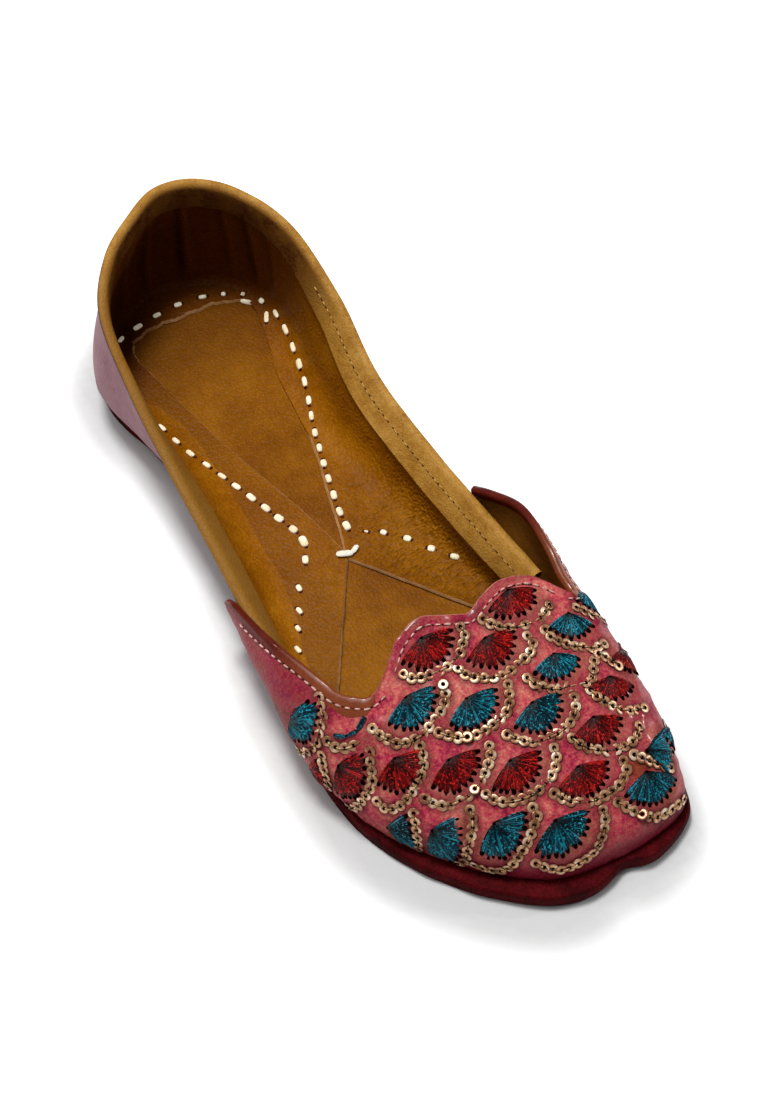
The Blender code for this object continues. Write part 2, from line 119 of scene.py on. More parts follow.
# Where the throat cuts the fold lines: station, share; both sides meet in a cusp
THROAT_OUTER = (
    (6.45, 0.93), (6.53, 0.98), (6.65, 1.0), (7.30, 1.0), (7.60, 0.965), (8.00, 0.868),
    (8.40, 0.785), (8.65, 0.757),
    (9.00, 0.772), (9.25, 0.935), (9.50, 0.967), (9.75, 0.983), (10.25, 0.990), (11.0, 0.980),
    (12.0, 0.966), (13.0, 0.955),
)
THROAT_INNER = (
    (13.0, 0.955), (14.0, 0.960), (15.0, 0.971), (15.5, 0.978), (16.0, 0.984), (16.5, 0.982),
    (16.75, 0.974), (17.00, 0.938), (17.20, 0.82), (17.45, 0.765), (17.80, 0.80), (18.15, 0.90),
    (18.50, 1.0), (19.30, 1.0), (19.47, 0.985), (19.57, 0.95),
)
CUSP = 13.0
# How far apart the vamp's sections stand, most closely where the throat is cut steeply: station, spacing
VAMP_SPACING = (
    (VAMP[0][0], 1.0), (8.3, 0.8), (9.1, 0.28), (9.6, 0.7), (12.0, 1.4), (13.0, 0.8),
    (14.0, 1.4), (16.4, 0.9), (17.1, 0.28), (17.6, 0.6), (VAMP[-1][0], 1.0),
)
# Sections along the vamp, and points up its outer face, round its cut edge and down its inner face
VAMP_SECTIONS, VAMP_OUTER_STEPS, CUT_EDGE_STEPS, VAMP_INNER_STEPS = 460, 80, 5, 36

# Sections of the quarter: station, negative on the inner side, top x, y, z, lean and height of the wall,
# flare, drop
QUARTER = (
    (-7.6, 42.8, 40.2, 24.5, 1.5, 7.0, -2.0, 7.0),
    (-6.5, 9.7, 37.0, 25.0, 1.5, 7.0, -2.5, 7.0),
    (-6.0, -8.1, 35.6, 25.5, 1.5, 7.0, -2.5, 7.0),
    (-5.0, -38.0, 33.8, 29.5, 1.5, 8.0, -2.5, 8.0),
    (-4.0, -62.8, 35.2, 39.0, 1.5, 11.0, -1.5, 11.0),
    (-3.0, -86.0, 32.7, 49.5, 1.5, 14.0, 0.5, 14.0),
    (-2.0, -102.4, 26.0, 53.0, 1.5, 15.0, 2.0, 15.0),
    (-1.0, -113.5, 15.4, 55.0, 1.5, 15.0, 2.5, 15.0),
    (0.0, -117.0, 2.0, 55.3, 1.5, 15.0, 2.5, 15.0),
    (1.0, -111.2, -10.3, 54.5, 2.0, 15.0, 2.5, 15.0),
    (2.0, -101.7, -22.5, 52.5, 2.5, 15.0, 2.0, 15.0),
    (3.0, -86.1, -32.2, 48.0, 11.0, 10.0, 0.5, 14.0),
    (4.0, -62.8, -34.8, 38.0, 10.5, 7.5, -1.5, 11.0),
    (5.0, -38.0, -35.3, 29.5, 3.0, 7.0, -2.5, 8.0),
    (6.0, -8.0, -36.4, 25.0, 1.5, 7.0, -3.0, 7.0),
    (6.5, 9.4, -37.6, 24.5, 1.5, 7.0, -3.0, 7.0),
    (7.5, 41.7, -37.4, 21.0, 1.5, 7.0, -2.5, 7.0),
)
# Stations from the heel where the quarter starts to move in under a wing, over how many, and where it ends
WING_START, WING_BLEND, QUARTER_END = 5.8, 0.7, 7.8
# Sections along the quarter, and points up its outer face, down its lining and round the lining's foot
QUARTER_SECTIONS, QUARTER_STEPS, LINING_STEPS, HOLLOW_STEPS = 480, 40, 26, 12
# Radius of the hollow where the side lining turns in over the insole: station, radius
LINING_HOLLOW = (
    (-7.6, 6.0), (-6.0, 8.0), (-4.5, 9.0), (-3.0, 7.5), (-2.0, 4.5), (-1.0, 3.2), (0.0, 3.0),
    (1.0, 3.2), (2.0, 4.0), (3.0, 5.5), (4.5, 7.5), (6.0, 7.5), (7.5, 6.0),
)
# How far the hollow's foot sinks into the flange
HOLLOW_SINK = 0.04
# Upright folds in the lining round the heel: station, half width in stations, depth
HEEL_FOLDS = (
    (-2.6, 0.10, 0.5), (-2.05, 0.12, 0.9), (-1.5, 0.08, 0.5), (-0.62, 0.10, 0.9), (-0.40, 0.07, -0.5),
    (0.25, 0.09, 0.7), (0.95, 0.16, 0.6), (1.6, 0.12, 0.5),
)

# Inner edge of the lining flange on the insole: station, x, y
FLANGE_EDGE = (
    (-7.3, 36.0, 28.0), (-6.8, 15.0, 12.8), (-6.3, -1.2, 2.8), (-6.0, -12.0, 5.2),
    (-5.0, -37.0, 12.0), (-4.0, -60.0, 17.3), (-3.0, -78.0, 22.5), (-2.2, -93.0, 25.4),
    (-1.5, -102.0, 23.0), (-0.8, -106.5, 13.0), (0.0, -107.5, 2.0), (0.8, -107.0, -10.0),
    (1.5, -104.5, -17.5), (2.2, -97.0, -18.9), (3.0, -81.0, -16.0), (4.0, -62.0, -12.5),
    (5.0, -37.0, -6.6), (6.0, -12.0, -0.6), (6.3, -1.2, 1.4), (6.8, 15.0, -9.4), (7.3, 36.0, -23.0),
)
# In front of V_STATION that edge is straight, from the point of the V to its two ends: x, y
V_POINT = (0.2, 1.2)
V_END_OUTER = (41.5, -25.9)
V_END_INNER = (36.0, 26.8)
V_STATION = 6.3
# Sections along the flange, points across it, and how far it starts inside the insole's rim and sinks into it
FLANGE_SECTIONS, FLANGE_STEPS = 900, 26
FLANGE_CLEAR, FLANGE_SINK = 0.4, 0.2
# How far the flange's thinned edge runs out at its foot, half way up and on top
SKIVE = (0.6, 0.55, 0.1)
# Where the flange's painted shade starts towards the outer side and where it is darkest, y
OUTER_DARK = (-3.5, -13.5)

# Binding folded over the topline: width of its facing, and its section as (outside the wall, below the edge)
BINDING_FACE = 8.4
BINDING_SECTION = (
    (0.28, 0.6), (0.50, -0.3), (0.48, -1.0), (0.22, -1.6), (-0.4, -1.9), (-1.2, -1.85), (-1.9, -1.55),
    (-2.5, -0.95), (-2.85, -0.2), (-3.05, 0.25 * BINDING_FACE), (-3.1, 0.5 * BINDING_FACE),
    (-3.1, 0.8 * BINDING_FACE), (-3.0, BINDING_FACE), (-2.5, BINDING_FACE), (-2.4, 0.5 * BINDING_FACE),
    (-2.3, 0.0), (-1.2, -0.3),
)
# Its first corners, on the quarter's outer face, are the red rim; the roll takes the painted shade in steps
RIM_CORNERS, ROLL_CORNERS = 3, slice(5, 9)
# How far the facing leans in at its lower edge: station, distance
FACING_LEAN = (
    (-7.6, 3.2), (-4.2, 3.2), (-3.0, 1.8), (-1.8, 0.2), (0.0, 0.0), (1.8, 0.0), (3.0, 0.5), (4.2, 1.2),
    (7.5, 1.2),
)
# Where the stitch row runs on the facing, as a share of its width, and the last station that it reaches
BINDING_SEAM = 0.3
BINDING_SEAM_END = -3.7

# Section of a wing's folded binding: (below the edge, outside the wall); places below the edge are shares of
# the strip's width on the outer face, or of WING_TUCK on the inner face
WING_FOLD = (
    (1.0, 0.02), (1.0, 0.26), (0.8, 0.34), (0.35, 0.36), (0.0, 0.28), (-0.22, 0.0), (-0.32, -0.6),
    (-0.28, -1.3), (-0.12, -1.8), (0.2, -2.05), (0.6, -2.1), (1.0, -2.05), (1.0, -1.85), (0.3, -1.75),
    (0.0, -0.9),
)
WING_TUCK = 2.4
# The fold stands this many times its given height over the edge
WING_RISE = 1.6
# Width of the strip on the outer face of each wing: station, width
WING_STRIP_OUTER = ((6.45, 1.5), (7.2, 2.2), (7.8, 2.6), (8.3, 3.6), (8.65, 5.0), (8.95, 3.4))
WING_STRIP_INNER = ((17.40, 3.0), (17.7, 3.4), (18.3, 2.4), (19.0, 2.0), (19.57, 1.4))
WING_SECTIONS = 220

# The embroidery chart lies on the vamp, along this middle line from its start: x, y
MIDDLE_LINE_START = np.array((50.0, 9.7))
MIDDLE_LINE_END = np.array((122.0, 18.0))
# Lowest place of the embroidery, and how far it keeps from the throat's edge
EMBROIDERY_LOW, EMBROIDERY_CLEAR = 6.6, 1.6
# Fans, read off the photo but for the last three: chart place along and across, turn and half angle in
# degrees, radius, silk
FANS = (
    (2.6, 13.7, -8, 68, 8.0, "red"), (0.2, -14.3, 0, 70, 8.3, "red"), (10.1, 0.3, 0, 70, 8.3, "red"),
    (16.6, 24.7, -22, 58, 7.4, "teal"), (24.1, 13.6, -14, 62, 7.3, "teal"),
    (31.6, 0.6, 0, 70, 8.3, "teal"), (20.5, -13.6, 0, 70, 8.3, "teal"),
    (10.3, -26.8, 0, 70, 8.3, "teal"), (-8.8, -54.9, 5, 70, 8.3, "teal"),
    (32.0, 33.7, -15, 60, 6.5, "red"), (37.5, 23.4, -24, 65, 6.9, "red"),
    (44.2, 12.3, -10, 66, 7.8, "red"), (52.5, 0.9, -6, 68, 8.2, "red"),
    (40.6, -13.6, 0, 70, 8.3, "red"), (30.3, -27.0, 0, 70, 8.3, "red"),
    (20.3, -38.7, -8, 70, 8.3, "red"), (10.2, -53.3, 0, 70, 8.6, "red"),
    (2.5, -66.6, 20, 55, 7.5, "red"), (55.4, 32.6, -15, 50, 6.0, "teal"),
    (59.6, 19.8, 62, 44, 9.0, "teal"), (64.3, 16.2, -13, 62, 9.0, "teal"),
    (60.2, -12.5, -2, 68, 9.2, "teal"), (50.3, -26.5, -4, 70, 8.6, "teal"),
    (40.0, -42.2, 0, 70, 8.9, "teal"), (29.8, -54.5, 8, 64, 8.8, "teal"),
    (11.0, 37.0, 0, 64, 7.5, "teal"), (26.0, 45.0, 0, 64, 7.5, "red"), (50.0, 42.0, 0, 60, 7.0, "teal"),
)
# Rays of a fan: distance apart on the fan's rim, half width, strands, and the width's share along the ray
RAY_PITCH = 2.0
RAY_HALF_WIDTH = 0.66
RAY_STRANDS = 4
RAY_SPREAD = ((0.0, 0.15), (0.25, 0.6), (0.5, 0.95), (0.8, 1.05), (0.93, 0.9), (1.0, 0.6))
RAY_SHARES = np.array((0.06, 0.2, 0.36, 0.54, 0.72, 0.86, 0.95, 1.0))
SILK_RADIUS = 0.2
# A bow of teal silk between two fans: chart places; its strands side by side; height and shade of one stitch
TEAL_BOW = ((4.1, -48.8), (5.9, -47.5), (7.1, -45.3), (7.9, -42.8), (7.3, -40.4), (6.9, -38.9))
BOW_STRANDS = (-0.5, -0.17, 0.17, 0.5)
BOW_HEIGHT = np.array((0.1, 0.4, 0.5, 0.5, 0.4, 0.1))
BOW_SHADE = np.array((0.95, 0.6, 0.35, 0.35, 0.6, 0.95))
# Chains of sequins, read off the photo but for the last three: chart places along each chain
CHAINS = (
    ((3.2, 2.3), (7.3, 3.5), (9.5, 5.3), (11.4, 7.3), (12.7, 9.9), (13.5, 12.8), (14.0, 15.9),
     (13.5, 18.4), (12.0, 21.4)),
    ((3.9, -3.6), (6.6, -4.0), (8.4, -6.3), (9.9, -8.4), (10.3, -10.7), (10.7, -13.4), (10.1, -16.3),
     (9.2, -19.1), (7.9, -22.2), (5.0, -23.9)),
    ((16.1, 10.5), (18.8, 10.5), (20.5, 7.9), (21.0, 4.7), (21.4, 1.3), (21.1, -1.9), (19.7, -5.0),
     (17.9, -7.7), (15.9, -9.7), (12.6, -10.7)),
    ((17.4, 15.8), (19.7, 15.8), (21.8, 17.0), (24.2, 18.8), (26.1, 20.9), (27.7, 23.3), (28.7, 26.3),
     (28.6, 28.7)),
    ((25.5, 3.5), (28.9, 4.7), (31.1, 6.5), (33.0, 9.3), (34.1, 12.6), (35.2, 15.3), (35.5, 18.0),
     (33.6, 20.5), (31.6, 22.4)),
    ((37.7, 16.2), (40.7, 16.8), (43.0, 17.8), (45.6, 19.5), (47.7, 21.5), (48.8, 24.4), (49.2, 27.2)),
    ((30.5, 24.8), (32.4, 26.3), (34.2, 27.2), (35.8, 28.2)),
    ((13.9, -16.7), (17.1, -18.1), (18.8, -20.3), (19.7, -23.4), (20.6, -27.2), (20.9, -29.5),
     (20.0, -32.4), (18.7, -35.3), (16.1, -36.9), (13.7, -38.3), (10.5, -39.0)),
    ((24.0, -2.0), (27.1, -3.8), (29.5, -6.1), (30.1, -8.9), (30.4, -12.2), (30.2, -15.4), (29.4, -18.3),
     (27.8, -21.2), (25.8, -23.1), (23.2, -25.0)),
    ((37.1, 11.0), (40.0, 9.4), (41.6, 7.0), (42.2, 3.7), (42.2, 0.2), (41.5, -2.7), (39.8, -6.2),
     (37.8, -8.1), (34.7, -10.3)),
    ((45.5, 4.0), (47.7, 4.5), (50.1, 6.1), (52.1, 8.1), (54.2, 10.8), (55.1, 13.6), (55.5, 16.9),
     (54.9, 19.9), (52.9, 22.2)),
    ((58.7, 15.9), (60.6, 17.4), (62.5, 18.9), (64.8, 20.9), (67.0, 23.5)),
    ((14.4, -43.4), (17.1, -45.5), (19.6, -47.1), (20.8, -50.7), (20.8, -53.1), (20.5, -55.7),
     (18.9, -61.0), (17.0, -63.3)),
    ((22.6, -31.2), (26.1, -32.5), (28.0, -34.8), (29.3, -37.4), (29.8, -39.8), (30.0, -43.0),
     (29.2, -47.1), (26.8, -50.0), (24.1, -50.6)),
    ((34.2, -16.0), (36.5, -17.2), (38.3, -19.8), (39.7, -22.2), (40.5, -25.3), (40.6, -29.0),
     (39.8, -32.0), (38.1, -35.2), (35.2, -37.4), (33.3, -38.1)),
    ((44.8, -1.7), (47.3, -2.7), (49.5, -5.1), (50.7, -8.1), (51.4, -11.3), (51.1, -14.5), (50.0, -17.9),
     (48.6, -20.3), (46.4, -22.8), (43.3, -24.0)),
    ((58.4, 12.3), (60.8, 11.7), (62.4, 9.2), (63.1, 6.4), (63.1, 3.6), (62.5, 0.6), (61.7, -2.2),
     (59.8, -5.1), (57.6, -7.2), (54.5, -8.8)),
    ((66.5, 4.8), (70.5, 7.1), (74.0, 9.7), (76.8, 12.8), (77.6, 16.2), (77.6, 20.4), (76.5, 26.0)),
    ((33.7, -43.5), (35.6, -45.0), (37.2, -47.1), (38.2, -49.0), (38.9, -52.3)),
    ((43.7, -29.9), (46.4, -31.1), (48.1, -33.2), (49.1, -35.7), (50.1, -38.5), (50.1, -42.9),
     (49.3, -45.0)),
    ((54.0, -15.7), (56.3, -15.9), (58.1, -18.6), (59.8, -21.2), (60.6, -24.2), (61.1, -26.7),
     (61.0, -31.0), (59.0, -35.2), (55.7, -38.4), (52.7, -40.5)),
    ((65.8, 0.1), (69.0, -1.2), (71.4, -3.6), (73.1, -5.8), (74.0, -8.9), (73.5, -12.7), (72.3, -17.0),
     (69.4, -20.4), (65.7, -23.1)),
    ((-5.4, -45.0), (-3.4, -47.4), (-1.2, -48.5), (-0.3, -50.4), (0.7, -51.9), (1.9, -55.0),
     (1.1, -58.1), (-0.2, -62.2), (-3.1, -65.5)),
    ((4.0, -51.6), (7.5, -50.1), (9.1, -48.1), (10.2, -45.7), (10.7, -43.3)),
    ((4.8, -56.1), (6.2, -57.6), (7.7, -59.4), (9.3, -60.9), (9.7, -64.0)),
    ((31.0, 36.3), (34.7, 40.0), (36.0, 45.0), (34.7, 50.0), (31.0, 53.7)),
    ((16.0, 28.3), (19.7, 32.0), (21.0, 37.0), (19.7, 42.0), (16.0, 45.7)),
    ((55.0, 33.3), (58.7, 37.0), (60.0, 42.0), (58.7, 47.0), (55.0, 50.7)),
)
SEQUIN_PITCH = 2.5
SEQUIN_RADIUS = 1.75
SEQUIN_HOLE = 0.42
SEQUIN_RIM = 0.32
SEQUIN_THICK = 0.16
SEQUIN_THREAD_RADIUS = 0.22
# Shade along one thread from sequin to sequin
THREAD_SHADE = np.array((1.0, 0.4, 0.0, 0.0, 0.0, 0.4, 1.0))
# Sequins that stand up and catch the lamp: chart places
GLINTS = ((13.9, -16.7), (29.4, -18.3), (40.5, -25.3), (72.6, 8.6))
# A brown stain on the toe's inner side
STAIN_PLACE = (106.7, 30.8, 21.6)

# Thick stitches on the insole, read off the photo, from the outer front round the heel to the inner front:
# x, y, turn in degrees, length, width
INSOLE_STITCHES = (
    (20.5, -26.6, 11, 3.0, 2.0), (14.3, -23.1, 2, 2.9, 1.9), (9.3, -19.9, 6, 2.9, 2.0),
    (2.6, -16.3, 177, 2.8, 1.9), (-4.9, -10.0, 156, 3.7, 2.4), (-10.7, -7.4, 175, 4.5, 2.9),
    (-15.9, -8.0, 19, 3.8, 2.7), (-21.5, -9.8, 21, 4.0, 2.7), (-26.8, -11.4, 17, 4.3, 2.7),
    (-32.5, -13.3, 15, 4.0, 2.5), (-38.5, -15.2, 21, 3.8, 2.2), (-44.2, -17.1, 22, 4.1, 2.1),
    (-50.3, -19.2, 21, 3.9, 2.1), (-56.3, -21.7, 24, 4.1, 2.5), (-62.3, -23.5, 23, 3.6, 2.3),
    (-68.8, -25.0, 17, 4.0, 2.3), (-75.5, -26.4, 10, 4.0, 2.2), (-82.3, -27.2, 3, 3.8, 2.1),
    (-89.2, -27.0, 175, 3.6, 2.0), (-96.0, -25.9, 165, 3.4, 1.9), (-102.4, -23.6, 150, 3.2, 1.8),
    (-107.8, -19.9, 122, 3.0, 1.8), (-109.7, -13.0, 100, 3.8, 2.1), (-111.0, -5.6, 92, 3.2, 2.2),
    (-111.5, 2.2, 84, 3.6, 2.1), (-110.4, 10.5, 72, 3.6, 1.9), (-108.1, 16.9, 58, 2.1, 1.8),
    (-104.9, 22.3, 128, 2.0, 1.6), (-101.9, 22.2, 37, 4.9, 2.0), (-98.8, 26.0, 9, 2.8, 2.0),
    (-92.4, 24.3, 149, 5.2, 2.1), (-90.9, 27.1, 172, 4.2, 2.0), (-83.5, 26.5, 169, 4.9, 2.2),
    (-75.8, 25.0, 165, 4.9, 2.3), (-68.8, 23.4, 159, 4.6, 2.4), (-62.3, 21.7, 157, 4.5, 2.2),
    (-55.8, 19.5, 155, 4.1, 2.0), (-50.4, 17.4, 157, 4.0, 2.1), (-44.2, 15.2, 159, 4.0, 2.2),
    (-38.4, 13.5, 159, 3.9, 2.2), (-32.5, 11.7, 160, 3.7, 2.3), (-26.7, 10.1, 165, 3.9, 2.5),
    (-20.6, 8.5, 163, 4.0, 2.3), (-14.5, 7.1, 171, 4.2, 2.5), (-9.1, 6.4, 176, 3.8, 2.7),
    (-4.5, 10.5, 48, 1.6, 1.0), (-1.7, 14.8, 35, 2.6, 2.3), (3.6, 19.9, 42, 3.0, 2.4),
    (10.3, 24.3, 43, 3.3, 2.4), (16.6, 28.5, 42, 3.4, 2.4), (22.5, 33.1, 43, 2.7, 2.8),
)
# The white bar tack at the point of the V, in the same way
BAR_TACK = ((-0.7, 1.0, 66, 5.8, 2.3), (-0.6, 4.4, 118, 3.0, 1.9))
# Height from which these are dropped onto the lining, below the swell of the wall
DROP_HEIGHT = 17.0
# Running stitches inside the throat's edge: place, first and last station, distance inside, height
EDGE_ROWS = (
    ("scallop", "outer", (9.14, 12.9), 2.5, 0.3), ("scallop", "inner", (13.1, 17.12), 2.5, 0.3),
    ("wing", "outer", (6.75, 9.0), 2.6, 0.45), ("wing", "inner", (17.3, 19.35), 2.6, 0.45),
)
FINE_PITCH = 2.6
# Length, width and height of the fine stitches and of the needle holes
EDGE_STITCH = (1.9, 0.6, 0.5)
EDGE_HOLE = (0.75, 0.55, 0.3)
BINDING_STITCH = (1.6, 0.5, 0.4)
BINDING_HOLE = (0.9, 0.5, 0.2)
FAN_HOLE = (1.75, 1.25, 0.7)
SEQUIN_MOUTH = (1.1, 0.95, 0.3)
INSOLE_HOLE = (1.0, 1.3, 0.3)

# Creased leather on the flange's inner front: size and slant (radians) of a crease, patch centre and radius
CREASE_SIZE, CREASE_SLANT = 0.85, 0.8
CREASE_PATCH, CREASE_REACH = (18.0, 30.0, 8.0), 46.0

# Edges that bend more than this stay crisp, in radians
CRISP_ANGLE = np.radians(48.0)

# Lights, each with a place and a target in metres, a disc's width in metres and a power in watts
LAMP_PLACE = (-0.22, -0.04, 1.2)
LIGHTS = (
    ("lamp above the heel", LAMP_PLACE, (0.0, 0.0, 0.02), 0.28, 10.2),
    ("soft panel overhead", (-0.2, -0.24, 1.0), (0.0, 0.0, 0.0), 0.9, 5.4),
    ("small lamp before the toe", (0.28, 0.75, 0.38), (0.08, 0.0, 0.02), 0.07, 1.4),
)
ROOM_LIGHT = 0.12
# Strength of the paper's own light away from the shoe and in its painted shadow
PAPER_GLOW, SHADOW_GLOW = 0.7, 0.0
# The soft shadow painted on the paper round the shoe: how far it is thrown along X and Y, and how wide it
# fades
SHADOW_THROW = (5.0, -4.5)
SHADOW_REACH = 15.0
# Lines of the floor's grid: close together round the shoe, then far out, in metres
FLOOR_NEAR, FLOOR_NEAR_LINES = 0.22, 111
FLOOR_FAR = (1.0, 4.0)

# Camera solved on the photograph: focal length and image height in pixels, turn and height as angles,
# distance and aim
CAMERA_FOCAL_PX = 2000.0
PHOTO_HEIGHT_PX = 1108.0
CAMERA_TURN, CAMERA_HEIGHT = np.radians(30.32), np.radians(57.0)
CAMERA_DISTANCE = 600.5
CAMERA_AIM = np.array((1.30, 15.29, 0.0))
SENSOR_WIDTH = 36.0
CAMERA_NEAR = 0.01


def seeded(seed):
    """Random numbers that come out the same on every run."""
    return np.random.default_rng(seed)


def unit(vectors):
    """Vectors scaled to length 1."""
    return vectors / np.maximum(np.linalg.norm(vectors, axis=-1, keepdims=True), 1e-9)


def soft_step(value, start, end):
    """0 before start, 1 past end, smooth between them."""
    t = np.clip((value - start) / (end - start), 0.0, 1.0)
    return t * t * (3 - 2 * t)


# Curves through tables

def smooth(keys, rows, at):
    """Cubic curve through table rows, read at the given keys."""
    keys, rows, at = np.asarray(keys, float), np.asarray(rows, float), np.asarray(at, float)
    step = np.diff(keys)[:, None]
    slope = np.diff(rows, axis=0) / step
    tangent = np.empty_like(rows)
    tangent[1:-1] = (slope[:-1] * step[1:] + slope[1:] * step[:-1]) / (step[:-1] + step[1:])
    tangent[0], tangent[-1] = slope[0], slope[-1]
    i = np.clip(np.searchsorted(keys, at, side="right") - 1, 0, len(keys) - 2)
    width = (keys[i + 1] - keys[i])[:, None]
    t = (at - keys[i])[:, None] / width
    start = (2 * t**3 - 3 * t**2 + 1) * rows[i] + (t**3 - 2 * t**2 + t) * width * tangent[i]
    end = (-2 * t**3 + 3 * t**2) * rows[i + 1] + (t**3 - t**2) * width * tangent[i + 1]
    return start + end


def rows_at(rows, station):
    """A table whose first column is the station, read at the given stations."""
    data = np.array(rows, float)
    return smooth(data[:, 0], data[:, 1:], station)


def value_at(rows, station):
    """A table of station and one value, read at the given stations."""
    return rows_at(rows, station)[:, 0]


def length_of(path):
    """Distance along a path at each of its points."""
    return np.concatenate([[0.0], np.cumsum(np.linalg.norm(np.diff(path, axis=0), axis=1))])


def curve_through(points, count):
    """A smooth path through a few points."""
    points = np.asarray(points, float)
    travel = length_of(points)
    return smooth(travel, points, np.linspace(0.0, travel[-1], count))


def resample(path, pitch):
    """Points and directions along a path, about one pitch apart."""
    travel = length_of(path)
    count = max(2, int(round(travel[-1] / pitch)) + 1)
    at = np.linspace(0.0, travel[-1], count)
    spots = np.column_stack([np.interp(at, travel, path[:, k]) for k in range(path.shape[1])])
    return spots, unit(np.gradient(spots, axis=0))


# Shapes shared with the solids

def outline(station):
    """Point, outward direction and ledge of the sole outline; whole stations are table rows."""
    station = np.asarray(station, float) % STATIONS
    outer = [(row[0], row[1], row[4]) for row in OUTLINE]
    inner = [(row[2], row[3], row[5]) for row in reversed(OUTLINE)]
    ring = np.array([HEEL_BACK] + outer + [TOE_TIP] + inner)
    lap, step = 4, 0.01
    looped = np.vstack([ring[-lap:], ring, ring[:lap]])
    travel = length_of(looped[:, :2])
    at = np.interp(station, np.arange(-lap, STATIONS + lap), travel)
    tangent = unit((smooth(travel, looped, at + step) - smooth(travel, looped, at - step))[:, :2])
    place = smooth(travel, looped, at)
    outward = np.stack([tangent[:, 1], -tangent[:, 0]], axis=1)
    notch = NOTCH_DEPTH * np.exp(-((station - NOTCH_STATION) / NOTCH_HALF_WIDTH) ** 2)
    return place[:, :2] - outward * notch[:, None], outward, place[:, 2] - notch


def lift(x):
    """Height of the sole's underside above the floor along the shoe."""
    x = np.asarray(x, float)
    share = np.clip((x - ARCH_START) / (ARCH_END - ARCH_START), 0.0, 1.0)
    arch = ARCH_RISE * np.sin(np.pi * share) ** 2
    spring = SPRING_RISE * np.clip((x - SPRING_START) / (SPRING_END - SPRING_START), 0.0, None) ** 2
    return arch + spring


def under_wing(station):
    """1 where the quarter runs inside a wing of the vamp, 0 behind it."""
    away = np.minimum(station % STATIONS, STATIONS - station % STATIONS)
    return np.clip((away - WING_START) / WING_BLEND, 0.0, 1.0)


def feather(station, inset):
    """The line where the upper meets the sole, moved in by an inset, with its outward direction."""
    place, outward, ledge = outline(station)
    flat = place - outward * (ledge + inset)[:, None]
    height = INSOLE_SEAT + lift(flat[:, 0])
    return np.column_stack([flat, height]), np.column_stack([outward, np.zeros(len(outward))])


def fold_line(foot, foot_handle, top_handle, top, share):
    """Cubic curves from the sole to the top, one row a station; share is (stations, steps)."""
    t = share[:, :, None]
    a, b, c, d = (p[:, None, :] for p in (foot, foot_handle, top_handle, top))
    return (1 - t)**3 * a + 3 * (1 - t)**2 * t * b + 3 * (1 - t) * t**2 * c + t**3 * d


def vamp_surface(station, share):
    """Points on the vamp's outer face, before the throat is cut."""
    row = rows_at(VAMP, station)
    foot, outward = feather(station, np.full(len(station), SEAM_INSET))
    top = row[:, :3]
    foot_handle = foot + outward * row[:, 3:4] + np.outer(row[:, 4], UP)
    top_handle = top + row[:, 5:8] * (1.0, 1.0, -1.0)
    return fold_line(foot, foot_handle, top_handle, top, share)


def quarter_surface(station, share):
    """Points on the quarter's outer face."""
    row = rows_at(QUARTER, station)
    inset = SEAM_INSET + (VAMP_WALL + 2 * GAP) * under_wing(station)
    foot, outward = feather(station, inset)
    top = row[:, :3]
    foot_handle = foot + outward * row[:, 3:4] + np.outer(row[:, 4], UP)
    top_handle = top + outward * row[:, 5:6] - np.outer(row[:, 6], UP)
    return fold_line(foot, foot_handle, top_handle, top, share)


def drop_share(surface, station, share, distance):
    """The part of a fold line that spans a distance just below a share."""
    step = 0.02
    span = surface(station, np.column_stack([share - step, share]))
    return step * distance / np.linalg.norm(span[:, 1] - span[:, 0], axis=1)


def throat_share(station):
    """Where the throat cuts each fold line of the vamp."""
    outer = value_at(THROAT_OUTER, np.minimum(station, CUSP))
    inner = value_at(THROAT_INNER, np.maximum(station, CUSP))
    return np.where(station < CUSP, outer, inner)


def wall_frame(surface, station, share):
    """Point, outward normal and upward direction of a wall at one share for each station."""
    step = 0.01
    here = surface(station, share[:, None])[:, 0]
    above = here - surface(station, share[:, None] - step)[:, 0]
    ahead = surface(station + step, share[:, None])[:, 0] - here
    return here, unit(np.cross(ahead, above)), unit(above)


def insole_inset(station, ledge):
    """How far the insole's rim stands in from the outline, clear of the upper's walls."""
    wing = under_wing(station) * (np.minimum(station, STATIONS - station) < QUARTER_END)
    return ledge + SEAM_INSET + QUARTER_WALL + 2 * GAP + (VAMP_WALL + 2 * GAP) * wing


def maker_to_shoe():
    """Shift from the maker's frame to the shoe's frame, read from the sole's own box."""
    place = outline(np.linspace(0.0, STATIONS, 4000))[0]
    low, high = (np.array(corner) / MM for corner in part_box("outsole"))
    middle = (low + high)[:2] / 2 - (place.min(axis=0) + place.max(axis=0)) / 2
    return np.array((middle[0], middle[1], 0.0))


SHIFT = maker_to_shoe()


# Mesh helpers

def outward_normals(points):
    """Normals of a wall's (rows, columns, 3) grid of points that point away from the shoe's middle."""
    normal = unit(np.cross(np.gradient(points, axis=0), np.gradient(points, axis=1)))
    middle = points.mean(axis=(0, 1))
    if np.sum(normal[:, 0] * (points[:, 0] - middle)) < 0:
        normal = -normal
    return normal


def grid_tree(points):
    """Search tree over a (rows, columns, 3) grid of points."""
    rows, columns = points.shape[:2]
    faces = [(i * columns + j, i * columns + j + 1, (i + 1) * columns + j + 1, (i + 1) * columns + j)
             for i in range(rows - 1) for j in range(columns - 1)]
    return BVHTree.FromPolygons([Vector(p) for p in points.reshape(-1, 3)], faces)


def soft_noise(points, size, seed):
    """Smooth wavy noise, about -1 to 1, with waves about one size long."""
    draw = seeded(seed)
    total = np.zeros(points.shape[:-1])
    for _ in range(5):
        direction = unit(draw.normal(size=3)) * (2 * np.pi / size) * draw.uniform(0.6, 1.5)
        total += np.sin(points @ direction + draw.uniform(0, 2 * np.pi))
    return total / 3.0


